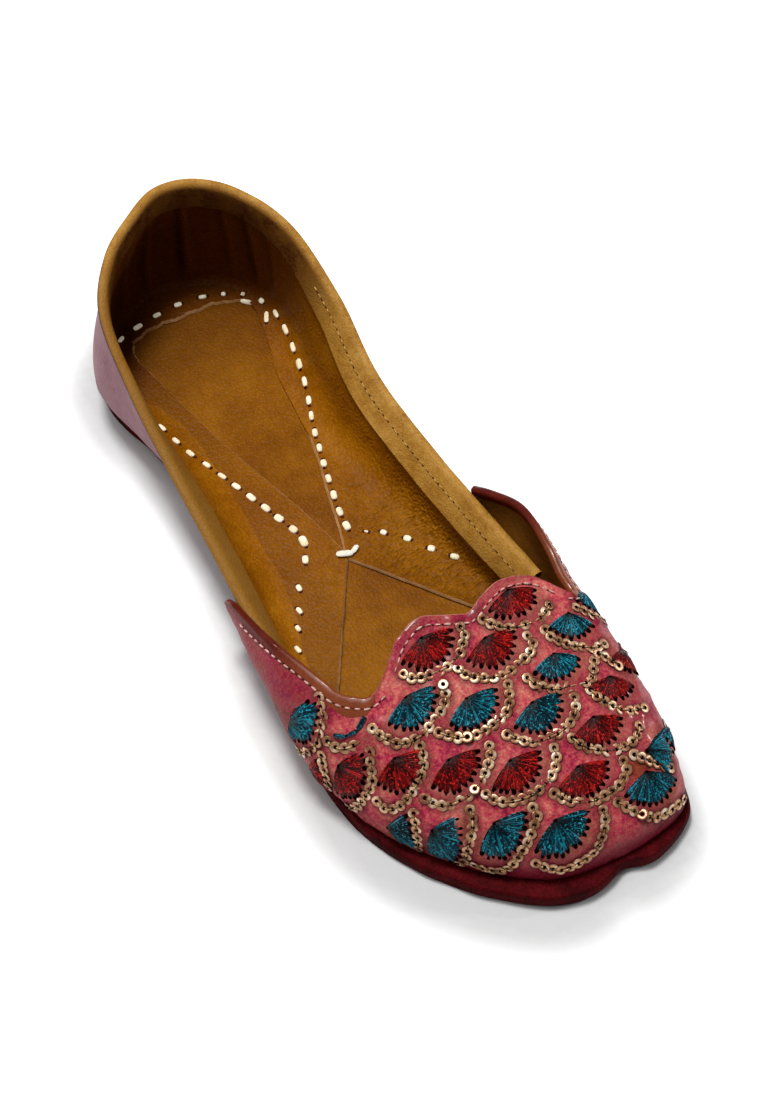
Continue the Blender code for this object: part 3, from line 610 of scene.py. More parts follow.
def in_metres(points):
    """Points of the maker's frame as a list in metres in the shoe's frame."""
    return ((np.asarray(points) + SHIFT) * MM).tolist()


def show(name, data):
    """A new object in the scene."""
    item = bpy.data.objects.new(name, data)
    bpy.context.scene.collection.objects.link(item)
    return item


def sweep(loops, column_slots=None, caps=True):
    """Faces over (stations, corners, 3) closed loops; returns points, faces and a slot for each face."""
    rows, columns = loops.shape[:2]
    k = np.arange(columns)
    following = (k + 1) % columns
    base = np.arange(rows - 1)[:, None] * columns
    quads = np.stack([base + k, base + following, base + columns + following, base + columns + k], axis=-1)
    faces = quads.reshape(-1, 4).tolist()
    slots = np.tile(np.zeros(columns, int) if column_slots is None else column_slots, rows - 1).tolist()
    if caps:
        faces += [list(range(columns))[::-1], list(range((rows - 1) * columns, rows * columns))]
        slots += [slots[0], slots[0]]
    return loops.reshape(-1, 3), faces, slots


def new_piece(name, swept, materials, marks):
    """A smooth-shaded leather piece from swept loops; marks are numbers at its points for its materials."""
    verts, faces, slots = swept
    mesh = bpy.data.meshes.new(name)
    mesh.from_pydata(in_metres(verts), [], faces)
    for material in materials:
        mesh.materials.append(material)
    mesh.polygons.foreach_set("material_index", np.asarray(slots, dtype=np.int32))
    mesh.shade_smooth()
    mesh.validate()
    for key, values in marks.items():
        mark(mesh, key, values)
    close_seams(mesh)
    return show(name, mesh)


def mark(mesh, key, values):
    """Store one number or vector a point on a mesh."""
    values = np.asarray(values, dtype=np.float32)
    kind, field = ("FLOAT_VECTOR", "vector") if values.ndim == 2 else ("FLOAT", "value")
    mesh.attributes.new(key, kind, "POINT").data.foreach_set(field, values.ravel())


def close_seams(mesh):
    """Merge doubled points, drop flat faces, point the faces outwards and keep cut edges crisp."""
    made = bmesh.new()
    made.from_mesh(mesh)
    bmesh.ops.remove_doubles(made, verts=made.verts, dist=0.00001)
    bmesh.ops.dissolve_degenerate(made, edges=made.edges, dist=0.000005)
    bmesh.ops.recalc_face_normals(made, faces=made.faces)
    made.to_mesh(mesh)
    made.free()
    mesh.set_sharp_from_angle(angle=CRISP_ANGLE)


def dress(item, node=None):
    """Put a finished piece on the shoe's body and hide the solid that it stands for."""
    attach(item, "root")
    if node:
        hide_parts(node)
    return item


# Material helpers

def linear(code):
    """An sRGB hex colour as linear red, green, blue, alpha."""
    parts = [int(code[i:i + 2], 16) / 255 for i in (1, 3, 5)]
    return (*[c / 12.92 if c <= 0.04045 else ((c + 0.055) / 1.055) ** 2.4 for c in parts], 1.0)


def add(tree, kind, inputs=None, **settings):
    """Add a node; inputs are values or sockets to link."""
    node = tree.nodes.new(kind)
    for key, value in settings.items():
        setattr(node, key, value)
    for key, value in (inputs or {}).items():
        if isinstance(value, bpy.types.NodeSocket):
            tree.links.new(value, node.inputs[key])
        else:
            node.inputs[key].default_value = value
    return node


def new_material(name):
    """An empty material, its node tree and the place on the object that its patterns read, in metres."""
    material = bpy.data.materials.new(name)
    material.use_nodes = True
    tree = material.node_tree
    tree.nodes.clear()
    return material, tree, add(tree, "ShaderNodeTexCoord").outputs["Object"]


def finish_material(material, tree, inputs):
    """Close a material with one shader; inputs are its numbers and the sockets that feed it."""
    shader = add(tree, "ShaderNodeBsdfPrincipled", inputs)
    add(tree, "ShaderNodeOutputMaterial", {"Surface": shader.outputs["BSDF"]})
    return material


def ramp(tree, factor, stops):
    """Colour ramp from (place, hex colour) stops."""
    node = add(tree, "ShaderNodeValToRGB", {"Fac": factor})
    band = node.color_ramp
    while len(band.elements) < len(stops):
        band.elements.new(0.5)
    for element, (place, code) in zip(band.elements, stops):
        element.position = place
        element.color = linear(code)
    return node.outputs["Color"]


def per_mm(size):
    """Texture scale for a pattern of about this size in mm, on coordinates in metres."""
    return 1.0 / (size * MM)


def stirred(tree, place, wave, throw, detail):
    """Places thrown about by a noise, so that cells laid on them lose their straight sides; sizes in mm."""
    noise = add(tree, "ShaderNodeTexNoise", {"Vector": place, "Scale": per_mm(wave), "Detail": detail})
    thrown = add(tree, "ShaderNodeVectorMath", {0: noise.outputs["Color"], 1: (throw * MM,) * 3},
                 operation="MULTIPLY")
    return add(tree, "ShaderNodeVectorMath", {0: place, 1: thrown.outputs[0]}, operation="ADD").outputs[0]


def add_tints(tree, colour, tone, tints):
    """Blend in a second colour where the mesh says so, a little unevenly with the dye's own tone."""
    for attribute, code in tints:
        given = add(tree, "ShaderNodeAttribute", attribute_name=attribute).outputs["Fac"]
        uneven = add(tree, "ShaderNodeMapRange", {"Value": tone, "From Min": 0.3, "From Max": 0.65,
                                                  "To Min": 0.55, "To Max": 1.2})
        share = add(tree, "ShaderNodeMath", {0: given, 1: uneven.outputs["Result"]}, operation="MULTIPLY",
                    use_clamp=True)
        colour = add(tree, "ShaderNodeMix", {"Factor": share.outputs[0], "A": colour, "B": linear(code)},
                     data_type="RGBA").outputs[2]
    return colour


def add_creases(tree, place, colour, bump):
    """Fine stretched pebbles of creased leather, strongest in the middle of their patch."""
    turned = add(tree, "ShaderNodeMapping",
                 {"Vector": stirred(tree, place, 4.0 * CREASE_SIZE, 2.2 * CREASE_SIZE, 2.0),
                  "Rotation": (0.0, 0.0, CREASE_SLANT), "Scale": (1.0, 0.42, 0.7)})
    cell = add(tree, "ShaderNodeTexVoronoi", {"Vector": turned.outputs["Vector"], "Smoothness": 0.5,
                                              "Scale": per_mm(CREASE_SIZE)}, feature="SMOOTH_F1")
    away = add(tree, "ShaderNodeVectorMath", {0: place, 1: in_metres(CREASE_PATCH)}, operation="DISTANCE")
    reach = CREASE_REACH * MM
    near = add(tree, "ShaderNodeMapRange", {"Value": away.outputs["Value"], "From Min": 0.4 * reach,
                                            "From Max": reach, "To Min": 1.0, "To Max": 0.25})
    height = add(tree, "ShaderNodeMath", {0: cell.outputs["Distance"], 1: near.outputs["Result"]},
                 operation="MULTIPLY").outputs[0]
    # Painted light on the pebbles' tops and painted shade in their grooves
    painted_crease_shading = add(tree, "ShaderNodeMapRange", {"Value": height, "From Min": 0.15, "From Max": 0.8,
                                            "To Min": 1.16, "To Max": 0.8})
    colour = add(tree, "ShaderNodeVectorMath", {0: colour, 1: painted_crease_shading.outputs["Result"]}, operation="MULTIPLY")
    bump = add(tree, "ShaderNodeBump", {"Height": height, "Strength": 1.0, "Distance": 0.6 * MM,
                                        "Normal": bump}, invert=True)
    return colour.outputs[0], bump.outputs["Normal"]


def leather(name, stops, mottle=14.0, cloud=0.35, grain=0.9, depth=0.3, speckle=0.0, gloss=0.5, shine=0.5,
            coat=0.0, coat_gloss=0.25, creased=False, tints=()):
    """Dyed leather: cloudy dye, tints read from the mesh, a pebbled grain, and wax on what faces up.

    mottle and grain are sizes in mm, cloud is the share of small flecks in the dye, depth the strength of the
    grain, speckle how much darker its grooves are, gloss the roughness and shine the strength of its
    reflections.
    """
    material, tree, place = new_material(name)
    dye, fleck = (add(tree, "ShaderNodeTexNoise", {"Vector": place, "Scale": per_mm(size), "Detail": detail,
                                                   "Roughness": rough}).outputs["Fac"]
                  for size, detail, rough in ((mottle, 3.0, 0.6), (mottle / 6, 4.0, 0.65)))
    tone = add(tree, "ShaderNodeMix", {"Factor": cloud, "A": dye, "B": fleck}, data_type="FLOAT").outputs[0]
    colour = add_tints(tree, ramp(tree, tone, stops), tone, tints)
    pebble = add(tree, "ShaderNodeTexVoronoi", {"Vector": stirred(tree, place, 3.0 * grain, grain, 1.0),
                                                "Scale": per_mm(grain), "Smoothness": 0.35},
                 feature="SMOOTH_F1").outputs["Distance"]
    if speckle > 0.0:
        grain_tone = add(tree, "ShaderNodeMapRange", {"Value": pebble, "From Min": 0.15, "From Max": 0.6,
                                                "To Min": 1.0 + 0.4 * speckle, "To Max": 1.0 - speckle})
        colour = add(tree, "ShaderNodeVectorMath", {0: colour, 1: grain_tone.outputs["Result"]},
                     operation="MULTIPLY").outputs[0]
    bump = add(tree, "ShaderNodeBump", {"Height": pebble, "Strength": depth, "Distance": 0.5 * MM},
               invert=True).outputs["Normal"]
    if creased:
        colour, bump = add_creases(tree, place, colour, bump)
    worn = add(tree, "ShaderNodeMapRange", {"Value": fleck, "To Min": gloss - 0.12, "To Max": gloss + 0.12})
    inputs = {"Base Color": colour, "Roughness": worn.outputs["Result"], "Normal": bump,
              "Specular IOR Level": shine, "Coat Roughness": coat_gloss}
    if coat > 0.0:
        normal = add(tree, "ShaderNodeNewGeometry").outputs["Normal"]
        upright = add(tree, "ShaderNodeSeparateXYZ", {0: normal}).outputs["Z"]
        wax = add(tree, "ShaderNodeMapRange", {"Value": upright, "From Min": 0.3, "From Max": 0.8,
                                               "To Min": 0.0, "To Max": coat})
        inputs["Coat Weight"] = wax.outputs["Result"]
    return finish_material(material, tree, inputs)


def silk(name, dark, middle, light, gloss=0.38):
    """Twisted shiny silk: strands of uneven tone, painted highlights as flecks, painted shade towards the
    holes.
    """
    material, tree, place = new_material(name)
    strand = add(tree, "ShaderNodeAttribute", attribute_name="strand").outputs["Vector"]
    path = add(tree, "ShaderNodeSeparateXYZ", {"Vector": strand}).outputs
    patch, fleck = (add(tree, "ShaderNodeTexNoise", {"Vector": place, "Scale": per_mm(size),
                                                     "Detail": detail}).outputs["Fac"]
                    for size, detail in ((1.5, 2.0), (0.6, 1.0)))
    tone = add(tree, "ShaderNodeMix", {"Factor": 0.45, "A": path["X"], "B": patch}, data_type="FLOAT")
    colour = ramp(tree, tone.outputs[0], ((0.2, dark), (0.6, middle), (1.0, light)))
    painted_sparkle = add(tree, "ShaderNodeMapRange", {"Value": fleck, "From Min": 0.58, "From Max": 0.68,
                                             "To Max": 0.95})
    colour = add(tree, "ShaderNodeMix", {"Factor": painted_sparkle.outputs["Result"], "A": colour, "B": linear(light)},
                 data_type="RGBA")
    painted_hole_shade = add(tree, "ShaderNodeMapRange", {"Value": path["Z"], "To Min": 1.0, "To Max": 0.03})
    shade = add(tree, "ShaderNodeVectorMath", {0: colour.outputs[2], 1: painted_hole_shade.outputs["Result"]},
                operation="MULTIPLY")
    twist = add(tree, "ShaderNodeBump", {"Height": fleck, "Strength": 0.6, "Distance": 0.3 * MM})
    return finish_material(material, tree, {"Base Color": shade.outputs[0], "Normal": twist.outputs["Normal"],
                                            "Roughness": gloss, "Specular IOR Level": 0.15})


def sequin_film():
    """Stamped copper film: pale rose gold on the flat, painted shade near black on the pressed rims."""
    material, tree, place = new_material("rose gold sequin film")
    noise = add(tree, "ShaderNodeTexNoise", {"Vector": place, "Scale": per_mm(3.2), "Detail": 2.0})
    patch = noise.outputs["Fac"]
    flat = ramp(tree, patch, ((0.32, "#7A4A36"), (0.46, "#AC7858"), (0.58, "#D4AA84"), (0.7, "#F4DEC2")))
    # The rims are painted near black as the shade round each sequin's edge
    rim = add(tree, "ShaderNodeAttribute", attribute_name="rim").outputs["Fac"]
    colour = add(tree, "ShaderNodeMix", {"Factor": rim, "A": flat, "B": linear("#0C0203")}, data_type="RGBA")
    scratch = add(tree, "ShaderNodeMapRange", {"Value": patch, "To Min": 0.2, "To Max": 0.4})
    return finish_material(material, tree, {"Base Color": colour.outputs[2], "Metallic": 0.4,
                                            "Roughness": scratch.outputs["Result"],
                                            "Specular IOR Level": 0.3})


def cotton(name, soiled, clean, strand=0.5, roughness=0.8, glow=0.0):
    """Thick waxed cotton thread: fine twisted strands across a pale, slightly soiled colour; glow is painted
    light.
    """
    material, tree, place = new_material(name)
    soil = add(tree, "ShaderNodeTexNoise", {"Vector": place, "Scale": per_mm(3.0), "Detail": 3.0})
    colour = ramp(tree, soil.outputs["Fac"], ((0.3, soiled), (0.65, clean)))
    wave_turn = 6.28
    ply = add(tree, "ShaderNodeTexWave", {"Vector": place, "Scale": per_mm(strand) / wave_turn,
                                          "Distortion": 2.0}, bands_direction="DIAGONAL")
    bump = add(tree, "ShaderNodeBump", {"Height": ply.outputs["Fac"], "Strength": 0.5, "Distance": 0.2 * MM})
    return finish_material(material, tree, {"Base Color": colour, "Normal": bump.outputs["Normal"],
                                            "Roughness": roughness, "Emission Color": linear(clean),
                                            "Emission Strength": glow})


def needle_hole(name, deep, soiled):
    """The dark mouth of a needle hole, painted as its shade, with a little soiled wax round it."""
    material, tree, place = new_material(name)
    soil = add(tree, "ShaderNodeTexNoise", {"Vector": place, "Scale": per_mm(0.8), "Detail": 2.0})
    colour = ramp(tree, soil.outputs["Fac"], ((0.35, deep), (0.7, soiled)))
    return finish_material(material, tree, {"Base Color": colour, "Roughness": 0.9,
                                            "Specular IOR Level": 0.0})


def studio_paper():
    """White sweep: paper that glows evenly, with a soft shadow painted round the shoe."""
    material, tree, place = new_material("white studio paper")
    tooth = add(tree, "ShaderNodeTexNoise", {"Vector": place, "Scale": per_mm(2.0), "Detail": 2.0})
    colour = ramp(tree, tooth.outputs["Fac"], ((0.3, "#C9C9C9"), (0.7, "#CBCBCB")))
    shade = add(tree, "ShaderNodeAttribute", attribute_name="shadow").outputs["Fac"]
    glow = add(tree, "ShaderNodeMapRange", {"Value": shade, "To Min": PAPER_GLOW, "To Max": SHADOW_GLOW})
    return finish_material(material, tree, {"Base Color": colour, "Roughness": 0.95,
                                            "Specular IOR Level": 0.0, "Emission Color": linear("#FFFFFF"),
                                            "Emission Strength": glow.outputs["Result"]})


# Materials of the shoe

# Vegetable tanned cowhide, polished by wear: low sheen, fine pores, painted shade towards the heel
INSOLE_TAN = leather("tan insole leather",
                     ((0.3, "#6A3800"), (0.43, "#7A4500"), (0.56, "#895202"), (0.72, "#985F09")),
                     mottle=30.0, grain=0.85, depth=0.5, speckle=0.14, gloss=0.46, shine=0.07,
                     tints=(("heel_shade", "#340C00"),))
# The same hide, thinner and folded, with creases painted lighter on their tops and darker in their grooves
# Painted shade on the outer side, at the heel and in the folds' hollows, painted light on their crests
FLANGE_TAN = leather("tan turned-in lining leather",
                     ((0.3, "#6C3B00"), (0.43, "#7C4701"), (0.56, "#8A5303"), (0.72, "#9A620C")),
                     mottle=22.0, grain=0.9, depth=0.5, speckle=0.14, gloss=0.44, shine=0.08, creased=True,
                     tints=(("outer_shade", "#552A00"), ("heel_shade", "#380000"), ("fold_painted_light", "#7A4410"),
                            ("fold_painted_shade", "#120000")))
# Goat binding dyed golden tan: paler and blotchy, with painted shade on its facing round the heel
GOLD_TAN = leather("golden tan binding leather",
                   ((0.3, "#885A1C"), (0.42, "#9E6E28"), (0.53, "#AE7E33"), (0.7, "#BE9048")),
                   mottle=7.0, cloud=0.4, grain=0.6, depth=0.35, speckle=0.1, gloss=0.5, shine=0.12,
                   tints=(("heel_facing_painted_shade", "#4A2206"), ("outer_brown", "#6A420E")))
# Dye rubbed off the quarter onto the binding's lower lip: a thin dark red line
RIM_RED = leather("dark red rim of the quarter", ((0.3, "#2E0A0C"), (0.6, "#4F1416"), (0.8, "#6A2620")),
                  mottle=5.0, grain=0.5, depth=0.2, gloss=0.45, shine=0.3)
# Undyed fibres of a skived edge: pale and dry
CUT_EDGE_TAN = leather("pale cut edge of tan leather", ((0.3, "#9A6A36"), (0.6, "#C09160"), (0.8, "#D2AA80")),
                       mottle=3.0, grain=0.4, depth=0.2, gloss=0.7, shine=0.2)
# Hand dyed, waxed goat: streaky pink to wine red, shiny where it faces up
# Its tints: darker dye by the rim and the sole, painted shade by the chains, on the outer wing and inner side
PINK = leather("hand dyed pink vamp leather",
               ((0.34, "#820834"), (0.42, "#B02E4A"), (0.49, "#CA5256"), (0.57, "#D67266"),
                (0.68, "#E49C8A")),
               mottle=8.0, cloud=0.5, grain=0.7, depth=0.4, speckle=0.24, gloss=0.45, shine=0.06, coat=0.4,
               coat_gloss=0.18,
               tints=(("inside_fan", "#9C5444"), ("chain_painted_shade", "#66041E"), ("near_edge", "#64001C"),
                      ("brown_stain", "#7A3206")))
# Cut through the dyed face: brownish pink fibres
PINK_EDGE = leather("pink brown cut edge of the throat",
                    ((0.3, "#8E4A42"), (0.55, "#B07064"), (0.8, "#C99082")),
                    mottle=5.0, grain=0.5, depth=0.2, gloss=0.5, shine=0.3)
# The same goat, unwaxed: greyish pink and dull, dark below the binding
PINK_SIDE = leather("pink quarter leather", ((0.25, "#704450"), (0.5, "#8A6068"), (0.75, "#9C7A80")),
                    mottle=15.0, gloss=0.5, shine=0.06, tints=(("top_edge", "#2C0406"),))
# Plain tan lining inside the wings and the toe: dull
WING_TAN = leather("tan wing lining leather", ((0.25, "#6A3A0C"), (0.5, "#8A5416"), (0.75, "#9C6622")),
                   mottle=14.0, grain=0.9, depth=0.2, gloss=0.5, shine=0.2)
# Thick sole hide soaked in maroon dye: dark, matt and speckled
MAROON = leather("maroon dyed sole leather",
                 ((0.3, "#2A0407"), (0.45, "#44080C"), (0.58, "#560C11"), (0.75, "#6C1819")),
                 mottle=7.0, grain=0.6, depth=0.35, speckle=0.3, gloss=0.6, shine=0.02)
# Rolled and waxed strip: glossy rust brown, paler towards the V cut
RUST = leather("rust red wing binding leather", ((0.25, "#3A0A06"), (0.5, "#54140A"), (0.75, "#6C2412")),
               mottle=7.0, grain=0.6, depth=0.2, gloss=0.4, shine=0.1, coat=0.6, coat_gloss=0.2,
               tints=(("towards_v", "#7E3E20"),))
# Cotton threads: matt, cream or white where they are thick, pink and gold where they are fine
# The cream thread also glows a little: painted light that keeps it bright in the shade
CREAM = cotton("cream waxed cotton", "#D2BF92", "#F2EAD2", glow=0.2)
WHITE_THREAD = cotton("white bar tack cotton", "#E2DAC2", "#F7F4EA")
PINK_THREAD = cotton("pale pink running thread", "#B07A74", "#DDB6A8", strand=0.3, roughness=0.6)
TAN_THREAD = cotton("golden binding thread", "#8A6426", "#C39A55", strand=0.3, roughness=0.7)
# Silk and wound gold: painted shade at the holes, with painted highlights as bright flecks on the twist
TEAL_SILK = silk("teal embroidery silk", "#00090E", "#023444", "#24ACC2")
RED_SILK = silk("red embroidery silk", "#140002", "#6A0408", "#E6281F")
SEQUIN_THREAD = silk("gold wound thread", "#1E0C04", "#94683A", "#F0D6A8", gloss=0.3)
# Needle holes, painted as shade: black in the thick vamp, brown in the lining and along the edges
DARK_HOLE = needle_hole("dark needle hole", "#050102", "#160405")
SOFT_HOLE = needle_hole("soft brown needle hole", "#2E1010", "#5A2A22")
SEQUIN = sequin_film()


# Geometry Nodes trees

def new_tree(name, sizes):
    """A node tree that takes geometry, named sizes and a material."""
    tree = bpy.data.node_groups.new(name, "GeometryNodeTree")
    face = tree.interface
    face.new_socket("Geometry", in_out="INPUT", socket_type="NodeSocketGeometry")
    for label in sizes:
        face.new_socket(label, in_out="INPUT", socket_type="NodeSocketFloat")
    face.new_socket("Material", in_out="INPUT", socket_type="NodeSocketMaterial")
    face.new_socket("Geometry", in_out="OUTPUT", socket_type="NodeSocketGeometry")
    return tree, add(tree, "NodeGroupInput").outputs


def close_tree(tree, shape, material):
    """End a tree with real, smooth geometry in its material."""
    real = add(tree, "GeometryNodeRealizeInstances", {"Geometry": shape})
    shaded = add(tree, "GeometryNodeSetShadeSmooth", {"Geometry": real.outputs["Geometry"]})
    done = add(tree, "GeometryNodeSetMaterial", {"Geometry": shaded.outputs[0], "Material": material})
    add(tree, "NodeGroupOutput", {"Geometry": done.outputs["Geometry"]})
    return tree


def turned_copies(tree, points, shape, scale="size", kind="FLOAT"):
    """Copies of a shape on points, turned by their facing and heading and scaled by their size or extent."""
    facing, heading, size = (
        add(tree, "GeometryNodeInputNamedAttribute", {"Name": name}, data_type=held).outputs["Attribute"]
        for name, held in (("facing", "FLOAT_VECTOR"), ("heading", "FLOAT_VECTOR"), (scale, kind)))
    stand = add(tree, "FunctionNodeAlignRotationToVector", {"Vector": facing}, axis="Z")
    turn = add(tree, "FunctionNodeAlignRotationToVector",
               {"Rotation": stand.outputs["Rotation"], "Vector": heading}, axis="X", pivot_axis="Z")
    copies = add(tree, "GeometryNodeInstanceOnPoints", {"Points": points, "Instance": shape,
                                                        "Rotation": turn.outputs["Rotation"], "Scale": size})
    return copies.outputs["Instances"]


def captured(tree, curve, label, value):
    """A curve that carries a number at each of its points into the mesh made from it, and that number."""
    node = add(tree, "GeometryNodeCaptureAttribute", domain="POINT")
    node.capture_items.new("FLOAT", label)
    tree.links.new(curve, node.inputs["Geometry"])
    tree.links.new(value, node.inputs[label])
    return node.outputs["Geometry"], node.outputs[label]


def stitch_tree():
    """Fine stitches: a soft pill of a given length, width and height on each point."""
    tree, given = new_tree("Stitches on points", ("Length", "Width", "Height"))
    pill = add(tree, "GeometryNodeMeshUVSphere", {"Segments": 8, "Rings": 5, "Radius": 0.5})
    extent = add(tree, "ShaderNodeCombineXYZ",
                 {"X": given["Length"], "Y": given["Width"], "Z": given["Height"]})
    sized = add(tree, "GeometryNodeTransform", {"Geometry": pill.outputs["Mesh"], "Scale": extent.outputs[0]})
    copies = turned_copies(tree, given["Geometry"], sized.outputs["Geometry"])
    return close_tree(tree, copies, given["Material"])


def thick_stitch_tree():
    """Thick flat stitches: a block with round ends on each point, sized by its extent attribute."""
    tree, given = new_tree("Thick stitches on points", ("Unit",))
    edge = add(tree, "ShaderNodeCombineXYZ", {"X": given["Unit"], "Y": given["Unit"], "Z": given["Unit"]})
    block = add(tree, "GeometryNodeMeshCube", {"Size": edge.outputs[0], "Vertices X": 3, "Vertices Y": 2,
                                               "Vertices Z": 2})
    soft = add(tree, "GeometryNodeSubdivisionSurface", {"Mesh": block.outputs["Mesh"], "Level": 2})
    copies = turned_copies(tree, given["Geometry"], soft.outputs["Mesh"], "extent", "FLOAT_VECTOR")
    return close_tree(tree, copies, given["Material"])


def sequin_tree():
    """Flat sequins: on each point a ring with pressed rims round a hole."""
    tree, given = new_tree("Sequins on points",
                           ("Middle radius", "Half width", "Flat half width", "Thickness"))
    path = add(tree, "GeometryNodeCurvePrimitiveCircle", {"Resolution": 14, "Radius": given["Middle radius"]})
    low, high = (add(tree, "ShaderNodeMath", {0: given[label], 1: -1.0}, operation="MULTIPLY").outputs[0]
                 for label in ("Half width", "Flat half width"))
    corners = [add(tree, "ShaderNodeCombineXYZ", {"X": x, "Y": y}).outputs[0]
               for x, y in ((low, given["Thickness"]), (given["Half width"], given["Thickness"]),
                            (given["Flat half width"], 0.0), (high, 0.0))]
    strip = add(tree, "GeometryNodeCurvePrimitiveQuadrilateral",
                {"Point %d" % (k + 1): corner for k, corner in enumerate(corners)}, mode="POINTS")
    # The outer corners carry rim = 1, where the film paints shade
    low_corner = add(tree, "FunctionNodeCompare", {0: add(tree, "GeometryNodeInputIndex").outputs[0], 1: 1.5},
                     data_type="FLOAT", operation="LESS_THAN")
    profile, rim = captured(tree, strip.outputs["Curve"], "Rim", low_corner.outputs["Result"])
    ring = add(tree, "GeometryNodeCurveToMesh", {"Curve": path.outputs["Curve"], "Profile Curve": profile})
    stored = add(tree, "GeometryNodeStoreNamedAttribute",
                 {"Geometry": ring.outputs["Mesh"], "Name": "rim", "Value": rim},
                 data_type="FLOAT", domain="POINT")
    copies = turned_copies(tree, given["Geometry"], stored.outputs["Geometry"])
    return close_tree(tree, copies, given["Material"])


def strand_tree():
    """Round strands along edge paths; stores tone, place around and the ends' painted shade for the thread.
    """
    tree, given = new_tree("Strands along paths", ("Radius",))
    path = add(tree, "GeometryNodeMeshToCurve", {"Mesh": given["Geometry"]})
    ring = add(tree, "GeometryNodeCurvePrimitiveCircle", {"Resolution": 5, "Radius": given["Radius"]})
    profile, around = captured(tree, ring.outputs["Curve"], "Around",
                               add(tree, "GeometryNodeSplineParameter").outputs["Factor"])
    tube = add(tree, "GeometryNodeCurveToMesh", {"Curve": path.outputs["Curve"], "Profile Curve": profile,
                                                 "Fill Caps": True})
    shade, tone = (add(tree, "GeometryNodeInputNamedAttribute", {"Name": name},
                       data_type="FLOAT").outputs["Attribute"] for name in ("shade", "tone"))
    value = add(tree, "ShaderNodeCombineXYZ", {"X": tone, "Y": around, "Z": shade})
    stored = add(tree, "GeometryNodeStoreNamedAttribute",
                 {"Geometry": tube.outputs["Mesh"], "Name": "strand", "Value": value.outputs[0]},
                 data_type="FLOAT_VECTOR", domain="POINT")
    return close_tree(tree, stored.outputs["Geometry"], given["Material"])


STITCHES = stitch_tree()
THICK_STITCHES = thick_stitch_tree()
SEQUINS = sequin_tree()
STRANDS = strand_tree()


def host_mesh(name, points, edges=(), **attributes):
    """A mesh of points and edges that carries point attributes."""
    mesh = bpy.data.meshes.new(name)
    mesh.from_pydata(in_metres(points), list(edges), [])
    for key, values in attributes.items():
        mark(mesh, key, values)
    return mesh


def grow(name, host, tree, sizes, material):
    """Run a node tree on a host mesh, with sizes in mm, and keep the result as a plain mesh."""
    item = show(name, host)
    modifier = item.modifiers.new("Made by nodes", "NODES")
    modifier.node_group = tree
    values = {label: size * MM for label, size in sizes.items()}
    values["Material"] = material
    for socket in tree.interface.items_tree:
        if socket.in_out == "INPUT" and socket.name in values:
            modifier[socket.identifier] = values[socket.name]
    graph = bpy.context.evaluated_depsgraph_get()
    mesh = bpy.data.meshes.new_from_object(item.evaluated_get(graph))
    item.modifiers.remove(modifier)
    item.data = mesh
    mesh.name = name
    return item


def stitches(name, points, facing, heading, extent, material, size=None):
    """Fine stitches or holes of one length, width and height, each scaled by its own size."""
    size = np.ones(len(points)) if size is None else size
    host = host_mesh(name, points, facing=facing, heading=heading, size=size)
    return grow(name, host, STITCHES, dict(zip(("Length", "Width", "Height"), extent)), material)


def strands(name, paths, radius, material, shades, seed):
    """Threads of one radius along a list of paths; shade 1 darkens a point."""
    own = seeded(seed).uniform(0.0, 1.0, len(paths))
    tone = np.concatenate([np.full(len(path), value) for path, value in zip(paths, own)])
    edges, start = [], 0
    for path in paths:
        edges += [(i, i + 1) for i in range(start, start + len(path) - 1)]
        start += len(path)
    host = host_mesh(name, np.vstack(paths), edges, shade=np.concatenate(shades), tone=tone)
    return grow(name, host, STRANDS, {"Radius": radius}, material)


# Sole, lining and quarter

def heel_shade(points):
    """How much painted shade lies towards the back of the heel, 0 to 1."""
    return soft_step(points[:, 0], *HEEL_DARK)


def no_inset(station, ledge):
    """The outsole is cut to the outline itself."""
    return np.zeros(len(station))


def plate_middle(rim):
    """The point of a board's middle line that each point of its rim is filled from."""
    half_way = 0.5 * (rim[:, 1] + rim[(-np.arange(len(rim))) % len(rim), 1])
    spine_x = np.clip(rim[:, 0], *PLATE_SPINE)
    outer = slice(0, len(rim) // 2)
    order = np.argsort(rim[outer, 0])
    return np.column_stack([spine_x, np.interp(spine_x, rim[outer, 0][order], half_way[outer][order])])


def make_plate(node, inset, low, high, edge, material, wobble=0.0, heel_dark=0.0):
    """A board cut to the sole plan, with a rounded and slightly uneven edge."""
    station = np.linspace(0.0, STATIONS, PLATE_POINTS, endpoint=False)
    place, outward, ledge = outline(station)
    rim = place - outward * inset(station, ledge)[:, None]
    middle = plate_middle(rim)
    uneven = soft_noise(np.column_stack([rim, np.zeros(len(rim))]), 11.0, 5) * wobble
    under = 0.2 * edge
    rows = []
    for share in np.linspace(0.0, 1.0, PLATE_RINGS)[:-1]:
        rows.append((middle + (rim - outward * under - middle) * share, low))
    for angle in np.linspace(-np.pi / 2, np.pi / 2, PLATE_EDGE_STEPS):
        push = (edge if angle > 0.0 else under) * (np.cos(angle) - 1.0) + uneven * np.cos(angle)
        rows.append((rim + outward * push[:, None], low + (high - low) * (np.sin(angle) + 1) / 2))
    for share in np.linspace(1.0, 0.0, PLATE_RINGS)[1:]:
        rows.append((middle + (rim - outward * edge - middle) * share, high))
    loops = np.array([np.column_stack([flat, height + lift(flat[:, 0])]) for flat, height in rows])
    marks = {"heel_shade": heel_dark * heel_shade(loops.reshape(-1, 3))} if heel_dark else {}
    item = new_piece(node + "_leather", sweep(loops, caps=False), [material], marks)
    return dress(item, node)


def make_sole():
    """Outsole and insole boards; the insole is returned, for the stitches to lie on."""
    make_plate("outsole", no_inset, 0.0, SOLE_THICK, OUTSOLE_EDGE, MAROON, wobble=0.35)
    # The insole carries painted shade towards the heel
    return make_plate("insole", insole_inset, INSOLE_SEAT, INSOLE_SEAT + INSOLE_THICK, INSOLE_EDGE,
                      INSOLE_TAN, heel_dark=0.4)


